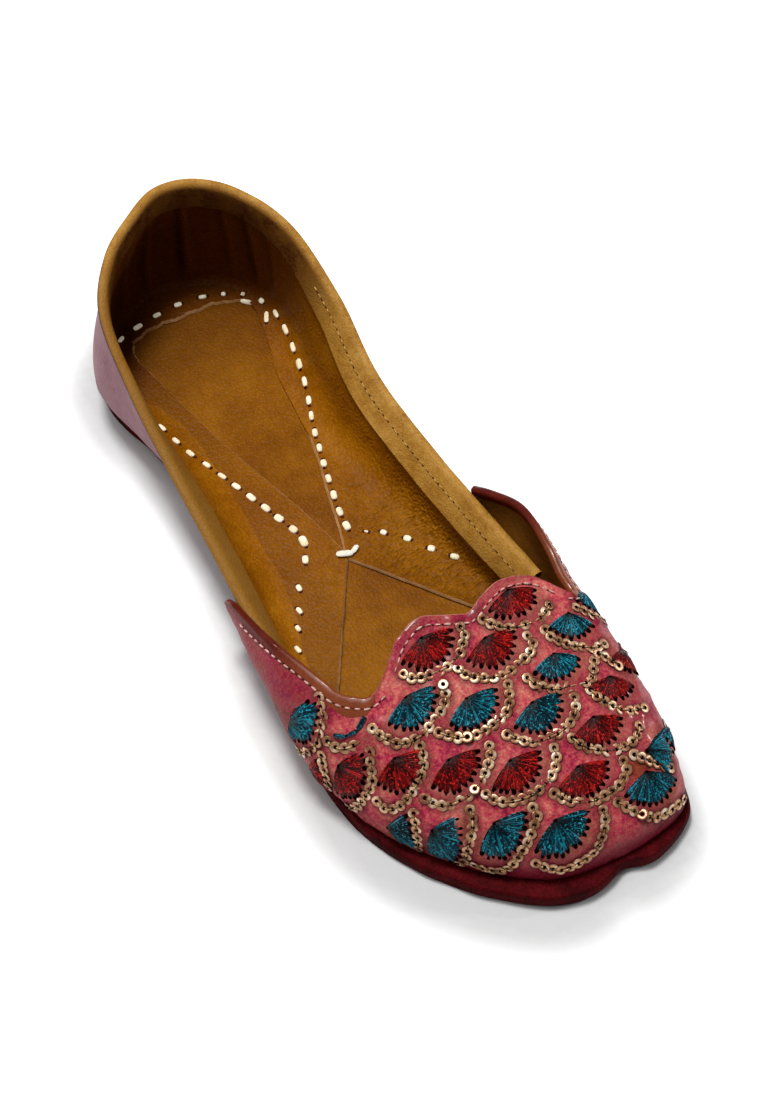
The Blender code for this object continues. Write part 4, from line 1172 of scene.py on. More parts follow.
def flange_edge(station):
    """Inner edge of the turned-in lining: hand cut round the heel and along the sides, straight at the V."""
    blend_span = 0.25
    beyond = np.abs(station) - V_STATION
    share = np.clip(beyond / (FLANGE_EDGE[-1][0] - V_STATION), 0.0, 1.0)[:, None]
    end = np.where(station[:, None] > 0.0, V_END_OUTER, V_END_INNER)
    straight = np.array(V_POINT) * (1 - share) + end * share
    blend = np.clip((beyond + blend_span) / blend_span, 0.0, 1.0)[:, None]
    return rows_at(FLANGE_EDGE, station) * (1 - blend) + straight * blend


def make_flange():
    """The turned-in foot of the lining: a thin strip whose hand-cut inner edge curls up a little."""
    station = np.linspace(FLANGE_EDGE[0][0], FLANGE_EDGE[-1][0], FLANGE_SECTIONS)
    inner = flange_edge(station)
    place, outward, ledge = outline(station)
    outer = place - outward * (insole_inset(station % STATIONS, ledge) + FLANGE_CLEAR)[:, None]
    off_edge = unit(inner - outer)
    at_heel = np.clip(1.3 - np.abs(station) / 2.4, 0.0, 1.0)
    smooth_cut = np.column_stack([inner, np.zeros(len(inner))])
    wavy, jagged = soft_noise(smooth_cut, 6.0, 9), soft_noise(smooth_cut, 1.9, 14)
    inner = inner - off_edge * (wavy * (0.1 + 0.75 * at_heel) + jagged * 0.25 * at_heel)[:, None]
    across = np.linspace(0.0, 1.0, FLANGE_STEPS) ** 0.7
    share = np.concatenate([across, [1.0, 1.0], across[::-1]])
    rise = np.concatenate([np.zeros(FLANGE_STEPS), [0.25, 0.8], np.ones(FLANGE_STEPS)])
    cut_edge = slice(FLANGE_STEPS - 1, FLANGE_STEPS + 2)
    skive = np.zeros(len(share))
    skive[cut_edge] = SKIVE
    flat = outer[:, None, :] * (1 - share)[None, :, None] + inner[:, None, :] * share[None, :, None]
    flat = flat + off_edge[:, None, :] * skive[None, :, None]
    curl = 0.25 * np.clip(soft_noise(smooth_cut, 17.0, 31), 0.0, None) * at_heel
    curl = curl + 0.5 * soft_step(np.abs(station), V_STATION - 0.1, V_STATION + 0.3)
    near_edge = np.clip(share * 4 - 3, 0, 1)
    height = FLANGE_SEAT - FLANGE_SINK + rise[None, :] * (FLANGE_THICK + FLANGE_SINK)
    height = height + curl[:, None] * near_edge[None, :] + lift(flat[:, :, 0])
    loops = np.concatenate([flat, height[:, :, None]], axis=2)
    verts = loops.reshape(-1, 3)
    columns = np.zeros(len(share), int)
    columns[cut_edge] = 1
    # Painted shade towards the back of the heel and towards the outer side
    marks = {"heel_shade": 0.65 * heel_shade(verts), "outer_shade": 0.4 * soft_step(verts[:, 1], *OUTER_DARK)}
    item = new_piece("lining_flange_leather", sweep(loops, columns), [FLANGE_TAN, CUT_EDGE_TAN], marks)
    return dress(item, "lining_flange")


def fold_depth(station, climb):
    """Depth of the upright folds in the lining at the back of the heel, strongest half way up."""
    fold = np.zeros((len(station), len(climb)))
    for place, width, depth in HEEL_FOLDS:
        lean = place + 0.12 * (climb - 0.5)
        fold += depth * np.exp(-((station[:, None] - lean[None, :]) / width) ** 2)
    return fold * np.sin(np.pi * np.clip(climb, 0.02, 0.98))[None, :] ** 0.7


def lining_hollow(station, wall):
    """The lining's wall with its foot bent in over the flange: wall, hollow and the corner below it."""
    radius = value_at(LINING_HOLLOW, station)
    outward = outline(station)[1]
    above, hollow, corners = [], [], []
    for line, size, out in zip(wall, radius, outward):
        floor = FLANGE_SEAT + FLANGE_THICK - HOLLOW_SINK + float(lift(line[-1, 0]))
        rising = line[np.argsort(line[:, 2])]
        climb = np.linspace(floor + size, line[0, 2], LINING_STEPS)[::-1]
        upper = np.column_stack([np.interp(climb, rising[:, 2], rising[:, k]) for k in range(3)])
        corner = np.array([np.interp(floor, rising[:, 2], rising[:, k]) for k in range(3)])
        end = corner - np.array((*out, 0.0)) * size
        t = np.linspace(0.0, 1.0, HOLLOW_STEPS + 1)[1:, None]
        above.append(upper)
        hollow.append((1 - t) ** 2 * upper[-1] + 2 * (1 - t) * t * corner + t ** 2 * end)
        corners.append([corner - UP * 0.5 * HOLLOW_SINK])
    return np.array(above), np.array(hollow), np.array(corners)


def make_quarter():
    """The low wall round heel and sides: pink outside, tan lining inside that sweeps in over the flange."""
    station = np.linspace(QUARTER[0][0], QUARTER[-1][0], QUARTER_SECTIONS)
    climb = np.linspace(0.0, 1.0, QUARTER_STEPS)
    outer = quarter_surface(station, np.repeat(climb[None, :], len(station), axis=0))
    normal = outward_normals(outer)
    below = np.linalg.norm(outer[:, -1:] - outer, axis=2)
    lean = 0.85 * value_at(FACING_LEAN, station)[:, None] * np.clip(below / BINDING_FACE, 0.0, 1.0)
    folds = 0.8 * (fold_depth(station, climb) - 0.2 * soft_noise(outer, 16.0, 3))
    wall = outer - normal * (QUARTER_WALL + lean + folds)[:, :, None]
    outer = outer + normal * (0.12 * soft_noise(outer, 18.0, 4) - 0.1)[:, :, None]
    foot = outer[:, :1] - normal[:, :1] * QUARTER_WALL
    loops = np.concatenate([outer, *lining_hollow(station, wall[:, ::-1]), foot], axis=1)
    columns = np.repeat((0, 1), (QUARTER_STEPS, loops.shape[1] - QUARTER_STEPS))
    lining = slice(QUARTER_STEPS, QUARTER_STEPS + LINING_STEPS)
    up_the_wall = np.linspace(1.0, 0.15, LINING_STEPS)
    # Painted light on the crests of the heel's folds and painted shade in their hollows beside them
    crest, valley = np.zeros(loops.shape[:2]), np.zeros(loops.shape[:2])
    crest[:, lining] = np.clip(fold_depth(station, up_the_wall), 0.0, 1.0)
    valley[:, lining] = np.clip(fold_depth(station - 0.13, up_the_wall), 0.0, 1.0)
    to_top = np.linalg.norm(loops - loops[:, QUARTER_STEPS - 1:QUARTER_STEPS], axis=2)
    # Painted shade towards the back of the heel
    marks = {"heel_shade": 0.72 * heel_shade(loops.reshape(-1, 3)),
             "top_edge": soft_step(to_top, 3.4, 1.6).ravel(),
             "fold_painted_light": 0.5 * crest.ravel(), "fold_painted_shade": 0.7 * valley.ravel()}
    item = new_piece("quarter_leather", sweep(loops, columns), [PINK_SIDE, FLANGE_TAN], marks)
    return dress(item, "quarter")


def binding_point(station, across, below):
    """A corner of the binding's section along the topline, leaned in with the facing below the edge."""
    full = np.ones(len(station))
    if below <= 0.0:
        point, normal, up = wall_frame(quarter_surface, station, full)
        return point + normal * across - up * below
    lean = value_at(FACING_LEAN, station)
    reach = below * (1.0 - 0.06 * lean)
    share = full - drop_share(quarter_surface, station, full, 1.0) * reach
    point, normal, up = wall_frame(quarter_surface, station, share)
    inward = across - lean * below / BINDING_FACE if across < 0.0 else np.full(len(station), across)
    return point + normal * inward[:, None]


def make_topline_binding():
    """The strip folded over the quarter's edge, with its wide facing."""
    station = np.linspace(QUARTER[0][0], QUARTER[-1][0], QUARTER_SECTIONS)
    loops = np.stack([binding_point(station, across, below) for across, below in BINDING_SECTION], axis=1)
    loops = loops + UP * (0.15 * soft_noise(loops[:, :1], 13.0, 8))[:, :, None]
    columns = np.zeros(len(BINDING_SECTION), int)
    columns[:RIM_CORNERS] = 1
    facing_side = np.array([1.0 if below > 0.0 else 0.0 for across, below in BINDING_SECTION])
    facing_side[ROLL_CORNERS] = (0.1, 0.3, 0.7, 1.0)
    # Painted shade on the facing round the heel, where it stands in the wall's shadow
    at_heel = soft_step(station, 3.6, 2.2) * soft_step(station, -4.4, -3.2)
    on_outer_side = soft_step(station, 1.6, 3.2)
    marks = {"heel_facing_painted_shade": (0.9 * at_heel[:, None] * facing_side[None, :]).ravel(),
             "outer_brown": np.repeat(0.6 * on_outer_side, len(BINDING_SECTION))}
    item = new_piece("topline_binding_leather", sweep(loops, columns), [GOLD_TAN, RIM_RED], marks)
    dress(item, "topline_binding")


def make_binding_stitches():
    """A row of fine stitches with holes between them on the facing of the inner side."""
    station = np.linspace(QUARTER[0][0], BINDING_SEAM_END, 300)
    upper, lower = (binding_point(station, -3.05, (BINDING_SEAM + step) * BINDING_FACE)
                    for step in (-0.05, 0.05))
    path = 0.5 * (upper + lower)
    over_the_foot = UP * 60.0
    out = unit(np.cross(np.gradient(path, axis=0), upper - lower))
    out *= np.sign(np.sum(out * (over_the_foot - path), axis=1))[:, None]
    spots, heading = resample(path, FINE_PITCH)
    at, given = np.linspace(0, 1, len(spots)), np.linspace(0, 1, len(path))
    facing = np.column_stack([np.interp(at, given, out[:, k]) for k in range(3)])
    spots = spots + facing * 0.08
    size = seeded(12).uniform(0.75, 1.1, len(spots))
    row = stitches("binding_stitches", spots, facing, heading, BINDING_STITCH, TAN_THREAD, size)
    dress(row)
    between = 0.5 * (spots[1:] + spots[:-1])
    holes = stitches("binding_holes", between, facing[1:], heading[1:], BINDING_HOLE, SOFT_HOLE, size[1:])
    dress(holes)


# The vamp's chart

def vamp_stations(count):
    """Stations along the vamp, closer together where the throat is cut steeply, one of them at the cusp."""
    spread = np.array(VAMP_SPACING)
    fine = np.linspace(spread[0, 0], spread[-1, 0], 4000)
    weight = np.cumsum(1.0 / np.interp(fine, spread[:, 0], spread[:, 1]))
    even = np.interp(np.linspace(weight[0], weight[-1], count), weight, fine)
    even[np.argmin(np.abs(even - CUSP))] = CUSP
    return even


class Chart:
    """Millimetre chart on the vamp: along its middle line from the cusp, and across from that line.

    Each line across is a section of the vamp. Sections stand upright up to UPRIGHT_END and then lean more and
    more to the toe, about an axis that lies DEPTH below the floor, so that they also cover the toe's front.
    Leans are in degrees.
    """

    REACH = 76
    DEPTH = -60.0
    BEHIND, UPRIGHT_END = -44.0, 52.0
    LEAN_STEP, LEAN_END = 0.12, 14.6

    def __init__(self):
        station = np.linspace(VAMP[0][0], VAMP[-1][0], 420)
        share = np.repeat(np.linspace(0.0, 1.0, 90)[None, :], len(station), axis=0)
        self.tree = grid_tree(vamp_surface(station, share))
        heading = unit(MIDDLE_LINE_END - MIDDLE_LINE_START)
        self.ahead = np.array((*heading, 0.0))
        self.aside = np.array((-heading[1], heading[0], 0.0))
        planes = [(distance, 0.0) for distance in np.arange(self.BEHIND, self.UPRIGHT_END, 1.0)]
        leans = np.radians(np.arange(0.0, self.LEAN_END, self.LEAN_STEP))
        planes += [(self.UPRIGHT_END, lean) for lean in leans]
        cuts = [self.cut(distance, lean) for distance, lean in planes]
        first = next(k for k, cut in enumerate(cuts) if cut[2] is not None)
        tops = np.array([cut[2] for cut in cuts[first:] if cut[2] is not None])
        cuts = cuts[:first + len(tops)]
        before = [planes[k][0] for k in range(first)]
        self.along = np.concatenate([before, length_of(tops) + planes[first][0]])
        across = np.arange(-self.REACH, self.REACH + 1.0)
        self.grid = np.full((len(cuts), len(across), 3), np.nan)
        for sign, which in ((-1, 0), (1, 1)):
            base = length_of(cuts[first][which])[-1]
            for k, cut in enumerate(cuts):
                if len(cut[which]) < 3:
                    continue
                climb = length_of(cut[which])
                from_middle = (climb[-1] if k >= first else base) - climb
                held = (across * sign >= max(from_middle[-1], 0.0)) & (across * sign <= from_middle[0])
                for axis, values in enumerate(cut[which].T):
                    self.grid[k, held, axis] = np.interp(-np.abs(across[held]), -from_middle, values)

    def cut(self, distance, lean):
        """Points up the outer and the inner side of one section, and its point on the middle line."""
        axis = np.array((*MIDDLE_LINE_START, self.DEPTH)) + self.ahead * distance
        rise = UP * np.cos(lean) + self.ahead * np.sin(lean)
        sides = []
        for sign in (-1.0, 1.0):
            rays = (self.aside * sign * np.cos(turn) + rise * np.sin(turn)
                    for turn in np.radians(np.arange(20.0, 90.01, 0.5)))
            hits = [self.tree.ray_cast(Vector(axis), Vector(ray))[0] for ray in rays]
            sides.append(np.array([tuple(hit) for hit in hits if hit is not None]).reshape(-1, 3))
        top = self.tree.ray_cast(Vector(axis), Vector(rise))[0]
        return sides[0], sides[1], None if top is None else np.array(top)

    def at(self, along, across):
        """Points on the vamp; not a number where the chart leaves the leather."""
        outside = -9
        i = np.interp(along, self.along, np.arange(len(self.along)), left=outside, right=outside)
        j = np.asarray(across) + self.REACH
        bad = (i < 0) | (j < 0) | (j > 2 * self.REACH)
        i0 = np.clip(np.floor(i).astype(int), 0, len(self.along) - 2)
        j0 = np.clip(np.floor(j).astype(int), 0, 2 * self.REACH - 1)
        fi, fj = (i - i0)[..., None], (j - j0)[..., None]
        g = self.grid
        found = (g[i0, j0] * (1 - fi) * (1 - fj) + g[i0 + 1, j0] * fi * (1 - fj)
                 + g[i0, j0 + 1] * (1 - fi) * fj + g[i0 + 1, j0 + 1] * fi * fj)
        found[bad] = np.nan
        return found

    def at_one(self, along, across):
        """One point on the vamp."""
        return self.at(np.array((along,)), np.array((across,)))[0]

    def onto(self, points):
        """The nearest places on the vamp's surface."""
        return np.array([tuple(self.tree.find_nearest(Vector(p))[0]) for p in points])

    def normal(self, points):
        """Outward normals at points on the vamp."""
        toe_box = np.array((70.0, 8.0, 8.0))
        found = np.array([tuple(self.tree.find_nearest(Vector(p))[1]) for p in points])
        return found * np.sign(np.sum(found * (points - toe_box), axis=1))[:, None]


def leather_test():
    """A test of which points lie on the cut vamp, clear of its edge and above the sole."""
    station = vamp_stations(500)
    share = throat_share(station)
    tree = grid_tree(vamp_surface(station, share[:, None] * np.linspace(0.0, 1.0, 40)[None, :]))
    rim = vamp_surface(station, share[:, None])[:, 0]

    def on_leather(spots):
        found = np.zeros(len(spots), bool)
        for k, spot in enumerate(spots):
            if np.isnan(spot[0]) or spot[2] <= EMBROIDERY_LOW:
                continue
            off_sheet = tree.find_nearest(Vector(spot))[3]
            to_rim = np.min(np.linalg.norm(rim - spot, axis=1))
            found[k] = off_sheet < 0.3 and to_rim > EMBROIDERY_CLEAR
        return found
    return on_leather


def fan_list():
    """Every fan: along, across, turn and half angle in radians, radius, and whether its silk is red."""
    return [(along, across, np.radians(turn), np.radians(half), radius, silk_colour == "red")
            for along, across, turn, half, radius, silk_colour in FANS]


def chain_line(chart, row, pitch):
    """One chain's line on the vamp, as points a pitch apart."""
    path = chart.at(*curve_through(row, 12 * len(row)).T)
    return resample(path[~np.isnan(path[:, 0])], pitch)[0]


# The vamp's leather

def vamp_relief(points, apexes):
    """Height of the leather over its plain form: waves, pits at the fans' apexes and swells round them."""
    flat = points.reshape(-1, 3)
    total = 0.14 * soft_noise(flat, 20.0, 17) + 0.1 * soft_noise(flat, 6.0, 18)
    for apex in apexes:
        away = np.linalg.norm(flat - apex, axis=1)
        total -= 0.45 * np.exp(-(away / 1.6) ** 2)
        total += 0.22 * np.exp(-((away - 9.9) / 1.2) ** 2)
    return total.reshape(points.shape[:2])


def vamp_loops(station, apexes):
    """Closed sections of the vamp: up the outside, round the cut top edge and down the inside."""
    climb = np.linspace(0.0, 1.0, VAMP_OUTER_STEPS)
    outer = vamp_surface(station, throat_share(station)[:, None] * climb[None, :])
    normal = outward_normals(outer)
    pick = np.linspace(VAMP_OUTER_STEPS - 1, 0, VAMP_INNER_STEPS).round().astype(int)
    inner = outer[:, pick] - normal[:, pick] * VAMP_WALL
    outer = outer + normal * vamp_relief(outer, apexes)[:, :, None]
    edge, edge_normal = outer[:, -1], normal[:, -1]
    rise = unit(outer[:, -1] - outer[:, -2])
    half = 0.5 * VAMP_WALL
    turn = np.linspace(0.0, np.pi, CUT_EDGE_STEPS + 2)[1:-1]
    arc = [edge - edge_normal * half * (1 - np.cos(a)) + rise * 0.35 * half * np.sin(a) for a in turn]
    return np.concatenate([outer, np.stack(arc, axis=1), inner], axis=1)


def inside_fans(points, fans, chart):
    """How far each point lies in the paler leather between a fan's apex and its chain, 0 to 1."""
    total = np.zeros(len(points))
    for along, across, turn, half, size, _ in fans:
        steps = chart.at(np.array((along, along + 1.0, along)), np.array((across, across, across + 1.0)))
        if np.isnan(steps).any():
            continue
        away = points - steps[0]
        ahead, aside = away @ unit(steps[1] - steps[0]), away @ unit(steps[2] - steps[0])
        radius = np.linalg.norm(away, axis=1)
        angle = np.abs(np.arctan2(aside, ahead) - turn)
        in_fan = soft_step(radius, size + 2.9, size + 0.9) * soft_step(angle, half + 0.3, half)
        total = np.maximum(total, in_fan)
    return total


def gap_to_chains(points, chart):
    """Distance of points from the nearest chain of sequins."""
    line = np.vstack([chain_line(chart, row, 1.2) for row in CHAINS])
    near = KDTree(len(line))
    for index, point in enumerate(line):
        near.insert(point, index)
    near.balance()
    return np.array([near.find(point)[2] for point in points])


def make_vamp(fans, chart):
    """The dyed leather of the vamp, drawn down a little where the embroidery pulls it."""
    apexes = chart.at(*np.array([fan[:2] for fan in fans]).T)
    loops = vamp_loops(vamp_stations(VAMP_SECTIONS), apexes[~np.isnan(apexes[:, 0])])
    columns = np.repeat((0, 2, 1), (VAMP_OUTER_STEPS - 1, CUT_EDGE_STEPS + 1, VAMP_INNER_STEPS))
    verts = loops.reshape(-1, 3)
    to_rim = np.linalg.norm(loops - loops[:, VAMP_OUTER_STEPS - 1:VAMP_OUTER_STEPS], axis=2).ravel()
    to_sole = verts[:, 2] - SOLE_THICK - lift(verts[:, 0])
    to_stain = np.linalg.norm(verts - np.array(STAIN_PLACE), axis=1)
    at_toe = soft_step(verts[:, 0], 84.0, 108.0)
    # Darker dye by the rim and the sole; painted shade on the outer wing and on the inner side
    on_wing = soft_step(verts[:, 0], 62.0, 44.0) * (verts[:, 1] < 0.0)
    on_inner_side = soft_step(verts[:, 1], 34.0, 44.0)
    dye_and_painted_shade = np.max([0.55 * soft_step(to_rim, 4.5, 0.5), 0.7 * on_wing, 0.5 * on_inner_side,
                       (0.45 + 0.5 * at_toe) * soft_step(to_sole, 13.0, 3.0)], axis=0)
    # Painted shade on the leather beside the sequin chains
    marks = {"inside_fan": 0.8 * inside_fans(verts, fans, chart),
             "chain_painted_shade": 0.55 * soft_step(gap_to_chains(verts, chart), 3.4, 1.9),
             "near_edge": dye_and_painted_shade, "brown_stain": 0.85 * soft_step(to_stain, 5.5, 1.5)}
    item = new_piece("vamp_leather", sweep(loops, columns), [PINK, WING_TAN, PINK_EDGE], marks)
    dress(item, "vamp")


def throat_path(station):
    """Points along the throat's edge with the vamp's normal and the direction off the leather's edge."""
    point, normal, up = wall_frame(vamp_surface, station, throat_share(station))
    off_edge = np.cross(normal, np.gradient(point, axis=0))
    off_edge *= np.sign(np.sum(off_edge * up, axis=1))[:, None]
    return point, normal, unit(off_edge)


def make_wing_binding(side, widths, chart):
    """Strip folded over a wing's edge: a thin glossy rim, wider on the outer face towards the V cut."""
    station = np.linspace(widths[0][0], widths[-1][0], WING_SECTIONS)
    point, normal, off_edge = throat_path(station)
    width = value_at(widths, station)
    from_end = np.minimum(np.arange(WING_SECTIONS), np.arange(WING_SECTIONS)[::-1])
    thin = np.clip(0.35 + from_end / 14.0, 0.0, 1.0)
    columns = []
    for below, outside in WING_FOLD:
        if below > 0.0:
            reach = below * (width if outside > 0.0 else WING_TUCK) * thin
            spot = chart.onto(point - off_edge * reach[:, None])
            columns.append(spot + chart.normal(spot) * outside)
        else:
            columns.append(point - off_edge * (WING_RISE * below) + normal * outside)
    loops = np.stack(columns, axis=1)
    towards_v = np.clip((loops[:, :, 0] - 30.0) / 14.0, 0.0, 1.0)
    item = new_piece("wing_binding_%s_leather" % side, sweep(loops), [RUST], {"towards_v": towards_v.ravel()})
    dress(item, "wing_binding_%s" % side)


# Embroidery and stitches

def ray_strand(chart, on_leather, apex, reach, angle, strand, width):
    """One strand of a ray and its shade, puffed up between its holes; nothing where it leaves the leather."""
    side = strand * width * np.interp(RAY_SHARES, *np.array(RAY_SPREAD).T)
    along = apex[0] + RAY_SHARES * reach * np.cos(angle) - side * np.sin(angle)
    across = apex[1] + RAY_SHARES * reach * np.sin(angle) + side * np.cos(angle)
    points = chart.at(along, across)
    good = on_leather(points)
    if good.sum() < 4 or not good[:3].all():
        return None
    points, held = points[good], RAY_SHARES[good]
    puff = np.sin(np.pi * held ** 0.8)
    height = 0.08 + 0.42 * np.sqrt(np.clip(puff, 0, 1)) + 0.22 * (1 - strand ** 2) * puff
    shade = np.clip(np.maximum(1.3 - held * 2.2, held * 8.0 - 6.9), 0, 1.0)
    return points + chart.normal(points) * height[:, None], shade


def teal_bow(chart):
    """Strands and shades of the bow of teal silk, three stitches long."""
    steps = len(BOW_HEIGHT)
    bow = chart.at(*curve_through(TEAL_BOW, 16).T)
    aside = unit(np.cross(np.gradient(bow, axis=0), UP))
    laid = []
    for strand in BOW_STRANDS:
        for first in range(0, len(bow) - 1, steps - 1):
            points = (bow + aside * strand)[first:first + steps]
            laid.append((points + chart.normal(points) * BOW_HEIGHT[:, None], BOW_SHADE))
    return laid


def make_fans(chart, fans, on_leather):
    """Silk rays from each apex to a ring of needle holes, a few fine strands to a ray."""
    draw = seeded(21)
    laid = {True: [], False: []}
    holes, aims, sizes = [], [], []
    for along, across, turn, half, size, red in fans:
        turn = turn + draw.uniform(-0.04, 0.04)
        rays = max(5, int(round(2 * half * size / RAY_PITCH)) + 1)
        for ray in np.linspace(-half, half, rays):
            reach = size * draw.uniform(0.93, 1.04)
            angle = ray + turn + draw.uniform(-0.03, 0.03)
            for strand in np.linspace(-1.0, 1.0, RAY_STRANDS):
                width = RAY_HALF_WIDTH * draw.uniform(0.9, 1.1)
                laid[red].append(ray_strand(chart, on_leather, (along, across), reach, angle, strand, width))
            ends = np.array((reach - 0.3, reach + 0.1))
            ring = chart.at(along + ends * np.cos(angle), across + ends * np.sin(angle))
            if on_leather(ring).all():
                holes.append(ring[1])
                aims.append(ring[1] - ring[0])
                sizes.append(draw.uniform(0.85, 1.15))
        apex = chart.at_one(along + 0.2 * np.cos(turn), across + 0.2 * np.sin(turn))
        if on_leather([apex])[0]:
            holes.append(apex)
            aims.append(chart.aside)
            sizes.append(0.95)
    laid[False] += teal_bow(chart)
    for name, red, silk_colour, seed in (("red_fans", True, RED_SILK, 3), ("teal_fans", False, TEAL_SILK, 4)):
        paths, shades = zip(*[strand for strand in laid[red] if strand is not None])
        dress(strands(name, paths, SILK_RADIUS, silk_colour, shades, seed))
    holes = np.array(holes)
    facing = chart.normal(holes)
    mouths = stitches("needle_holes", holes + facing * 0.16, facing, np.array(aims), FAN_HOLE, DARK_HOLE,
                      np.array(sizes))
    dress(mouths)


def turn_to_lamp(chart, spots, facing):
    """Turn the few sequins that stand up, so that they catch the lamp."""
    lamp = np.array(LAMP_PLACE) / MM - SHIFT
    for glint in GLINTS:
        k = np.argmin(np.linalg.norm(spots - chart.at_one(*glint), axis=1))
        facing[k] = unit(unit(lamp - spots[k]) + unit(camera_place() - spots[k]))
        spots[k] += 0.5 * facing[k]


def lay_chain(chart, line, draw):
    """Places, normals and directions of one run of lapped sequins, and its threads from hole to hole."""
    normal = chart.normal(line)
    way = unit(np.gradient(line, axis=0))
    lapped = 0.34 + 0.1 * (np.arange(len(line)) % 2)
    spots = line + normal * lapped[:, None]
    facing = unit(normal + way * 0.09 + draw.normal(scale=0.07, size=line.shape))
    lifted = line + normal * 0.5
    middle = 0.5 * (lifted[:-1] + lifted[1:]) + 0.16 * (normal[:-1] + normal[1:])
    threads = [curve_through([start - up * 0.25, top, end - up * 0.25], len(THREAD_SHADE))
               for start, top, end, up in zip(lifted[:-1], middle, lifted[1:], normal)]
    return spots, facing, way, threads


def make_sequins(chart, on_leather):
    """Hanging chains of lapped sequins round the fans, held by gold thread from hole to hole."""
    draw = seeded(33)
    lines = [chain_line(chart, row, SEQUIN_PITCH) for row in CHAINS]
    lines = [line[on_leather(line)] for line in lines]
    chains = [lay_chain(chart, line, draw) for line in lines if len(line) > 2]
    spots, facing, heading = (np.vstack(parts) for parts in list(zip(*chains))[:3])
    threads = [path for chain in chains for path in chain[3]]
    turn_to_lamp(chart, spots, facing)
    size = draw.uniform(0.92, 1.05, len(spots))
    host = host_mesh("sequins", spots, facing=facing, heading=heading, size=size)
    half = 0.5 * (SEQUIN_RADIUS - SEQUIN_HOLE)
    sizes = {"Middle radius": 0.5 * (SEQUIN_RADIUS + SEQUIN_HOLE), "Half width": half,
             "Flat half width": half - SEQUIN_RIM, "Thickness": SEQUIN_THICK}
    dress(grow("sequins", host, SEQUINS, sizes, SEQUIN))
    holes = stitches("sequin_holes", spots + facing * 0.05, facing, heading, SEQUIN_MOUTH, DARK_HOLE)
    dress(holes)
    shades = [THREAD_SHADE] * len(threads)
    dress(strands("sequin_thread", threads, SEQUIN_THREAD_RADIUS, SEQUIN_THREAD, shades, 6))


def make_edge_stitches(chart):
    """Running stitches inside the scallops and along both wings, with dark holes between them."""
    for place, side, span, inside, height in EDGE_ROWS:
        point, _, off_edge = throat_path(np.linspace(*span, 160))
        spots, heading = resample(chart.onto(point - off_edge * inside), FINE_PITCH)
        facing = chart.normal(spots)
        lifted = spots + facing * height
        size = seeded(len(spots)).uniform(0.8, 1.1, len(spots))
        row = stitches("%s_stitches_%s" % (place, side), lifted, facing, heading, EDGE_STITCH, PINK_THREAD,
                       size)
        dress(row)
        between = 0.5 * (lifted[:-1] + lifted[1:]) - facing[:-1] * 0.12
        holes = stitches("%s_holes_%s" % (place, side), between, facing[:-1], heading[:-1], EDGE_HOLE,
                         SOFT_HOLE)
        dress(holes)


def drop_onto(pieces, spots):
    """Places and normals of the highest surface of some pieces under plan places, below the wall's swell."""
    found, facing = [], []
    for spot in spots:
        from_above = in_metres((*spot, DROP_HEIGHT))
        hits = [piece.ray_cast(from_above, -Vector(UP)) for piece in pieces]
        place, normal = max(((hit[1], hit[2]) for hit in hits if hit[0]), key=lambda hit: hit[0].z)
        found.append(np.array(place) / MM - SHIFT)
        facing.append(np.array(normal))
    return np.array(found), np.array(facing)


def make_thick_stitches(name, rows, material, height, scale, lining):
    """Thick hand stitches on the lining; returns their places, normals, directions and lengths."""
    x_y, turn, length, width = np.split(np.array(rows), (2, 3, 4), axis=1)
    points, facing = drop_onto(lining, x_y)
    turn = np.radians(turn)
    heading = np.column_stack([np.cos(turn), np.sin(turn), np.zeros(len(turn))])
    uneven = seeded(len(rows)).uniform(0.86, 1.08, (len(rows), 2)) * scale
    extent = np.column_stack([length * uneven[:, :1], width * uneven[:, 1:], 0.5 * width + 0.1])
    host = host_mesh(name, points + facing * height, facing=facing, heading=heading, extent=extent)
    dress(grow(name, host, THICK_STITCHES, {"Unit": 1.0}, material))
    return points, facing, heading, length * scale


def make_insole_stitches(lining):
    """The thick stitches through the flange, with their holes, and the white bar tack at the V's point."""
    points, facing, heading, length = make_thick_stitches("insole_stitches", INSOLE_STITCHES, CREAM, 0.2,
                                                          0.88, lining)
    reach = 0.5 * length + 0.1
    ends = np.vstack([points + heading * reach, points - heading * reach])
    facing, heading = np.vstack([facing] * 2), np.vstack([heading] * 2)
    holes = stitches("insole_holes", ends + facing * 0.05, facing, heading, INSOLE_HOLE, SOFT_HOLE)
    dress(holes)
    make_thick_stitches("bar_tack", BAR_TACK, WHITE_THREAD, 0.7, 1.1, lining)


# Stage: floor, light and the camera at the photograph's angle

def paper_shadow(plan):
    """Share of painted shadow, 0 to 1, at plan places: full under the shoe, fading out round its thrown
    outline.
    """
    rim = outline(np.linspace(0.0, STATIONS, 160, endpoint=False))[0] + np.array(SHADOW_THROW)
    gap = np.min(np.linalg.norm(plan[:, None, :] - rim[None, :, :], axis=2), axis=1)
    turn = np.zeros(len(plan))
    for start, end in zip(rim, np.roll(rim, -1, axis=0)):
        a, b = start - plan, end - plan
        turn += np.arctan2(a[:, 0] * b[:, 1] - a[:, 1] * b[:, 0], np.sum(a * b, axis=1))
    inside = np.abs(turn) > np.pi
    return np.where(inside, 1.0, soft_step(gap, SHADOW_REACH, 0.0))


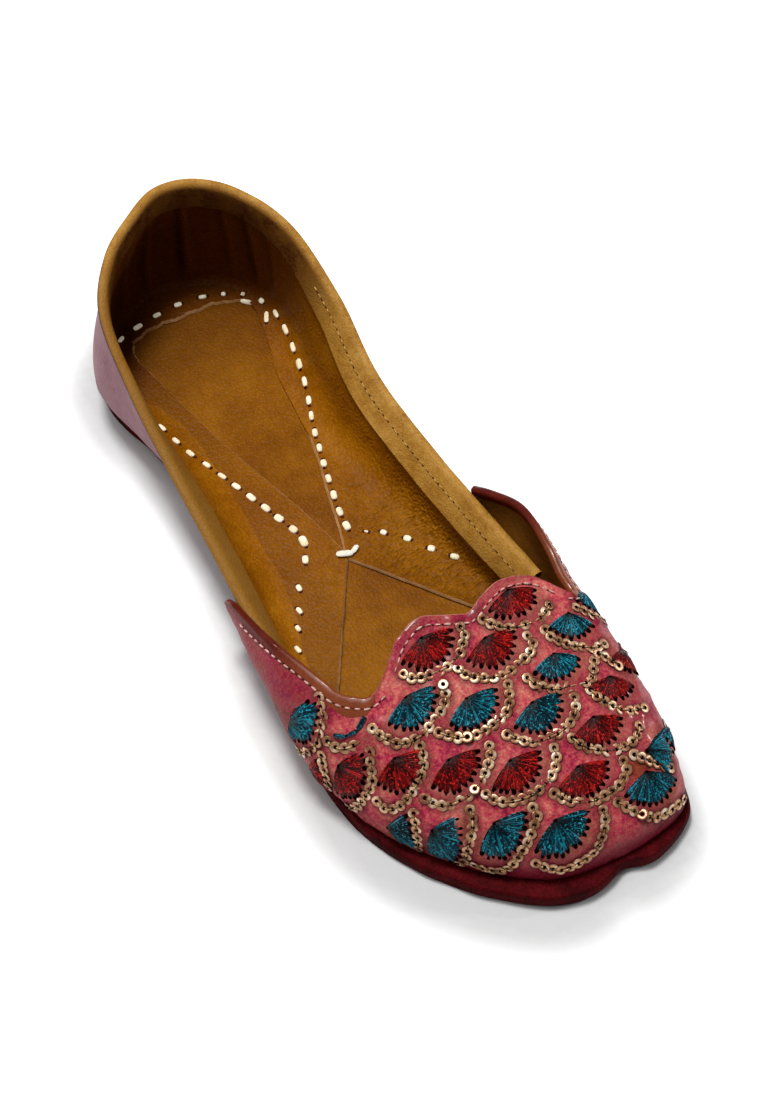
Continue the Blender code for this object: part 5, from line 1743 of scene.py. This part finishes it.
def make_floor():
    """A sheet of white paper, on a grid fine enough near the shoe to carry its painted shadow."""
    far = np.array(FLOOR_FAR)
    lines = np.concatenate([-far[::-1], np.linspace(-FLOOR_NEAR, FLOOR_NEAR, FLOOR_NEAR_LINES), far])
    x, y = (place.ravel() for place in np.meshgrid(lines, lines, indexing="ij"))
    k = np.arange(len(x)).reshape(len(lines), len(lines))
    faces = np.stack([k[:-1, :-1], k[1:, :-1], k[1:, 1:], k[:-1, 1:]], axis=-1).reshape(-1, 4)
    mesh = bpy.data.meshes.new("floor")
    mesh.from_pydata(np.column_stack([x, y, np.zeros(len(x))]).tolist(), [], faces.tolist())
    mesh.materials.append(studio_paper())
    mark(mesh, "shadow", paper_shadow(np.column_stack([x, y]) / MM - SHIFT[:2]))
    floor = show("floor", mesh)


def make_lights():
    """Soft studio light: an even white room and three round lamps."""
    world = bpy.data.worlds.new("Studio")
    world.use_nodes = True
    room = world.node_tree.nodes["Background"].inputs
    room["Color"].default_value = linear("#FFFFFF")
    room["Strength"].default_value = ROOM_LIGHT
    bpy.context.scene.world = world
    bpy.context.scene.view_settings.view_transform = "Standard"
    for name, place, target, size, power in LIGHTS:
        data = bpy.data.lights.new(name, "AREA")
        data.shape = "DISK"
        data.size = size
        data.energy = power
        aim = (Vector(target) - Vector(place)).to_track_quat("-Z", "Y").to_matrix().to_4x4()
        show(name, data).matrix_world = Matrix.Translation(place) @ aim


def camera_axes():
    """The camera's right, up and back directions in the maker's frame."""
    flat = np.cos(CAMERA_HEIGHT)
    back = np.array((np.cos(CAMERA_TURN) * flat, -np.sin(CAMERA_TURN) * flat, np.sin(CAMERA_HEIGHT)))
    right = np.array((np.sin(CAMERA_TURN), np.cos(CAMERA_TURN), 0.0))
    return right, np.cross(back, right), back


def camera_place():
    """Where the camera stands in the maker's frame."""
    return CAMERA_AIM + camera_axes()[2] * CAMERA_DISTANCE


def make_camera():
    """The photograph's camera; its longer, upright side is the sensor's width."""
    data = bpy.data.cameras.new("photo camera")
    data.sensor_width = SENSOR_WIDTH
    data.lens = CAMERA_FOCAL_PX * SENSOR_WIDTH / PHOTO_HEIGHT_PX
    data.clip_start = CAMERA_NEAR
    item = show("photo camera", data)
    turn = Matrix(camera_axes()).transposed().to_4x4()
    item.matrix_world = Matrix.Translation(in_metres(camera_place())) @ turn
    bpy.context.scene.camera = item


def main():
    """Stage first, then the shoe from the sole up."""
    make_floor()
    make_lights()
    make_camera()
    lining = [make_sole(), make_flange(), make_quarter()]
    make_topline_binding()
    make_binding_stitches()
    chart = Chart()
    fans = fan_list()
    on_leather = leather_test()
    make_vamp(fans, chart)
    make_wing_binding("outer", WING_STRIP_OUTER, chart)
    make_wing_binding("inner", WING_STRIP_INNER, chart)
    make_fans(chart, fans, on_leather)
    make_sequins(chart, on_leather)
    make_edge_stitches(chart)
    make_insole_stitches(lining)


main()
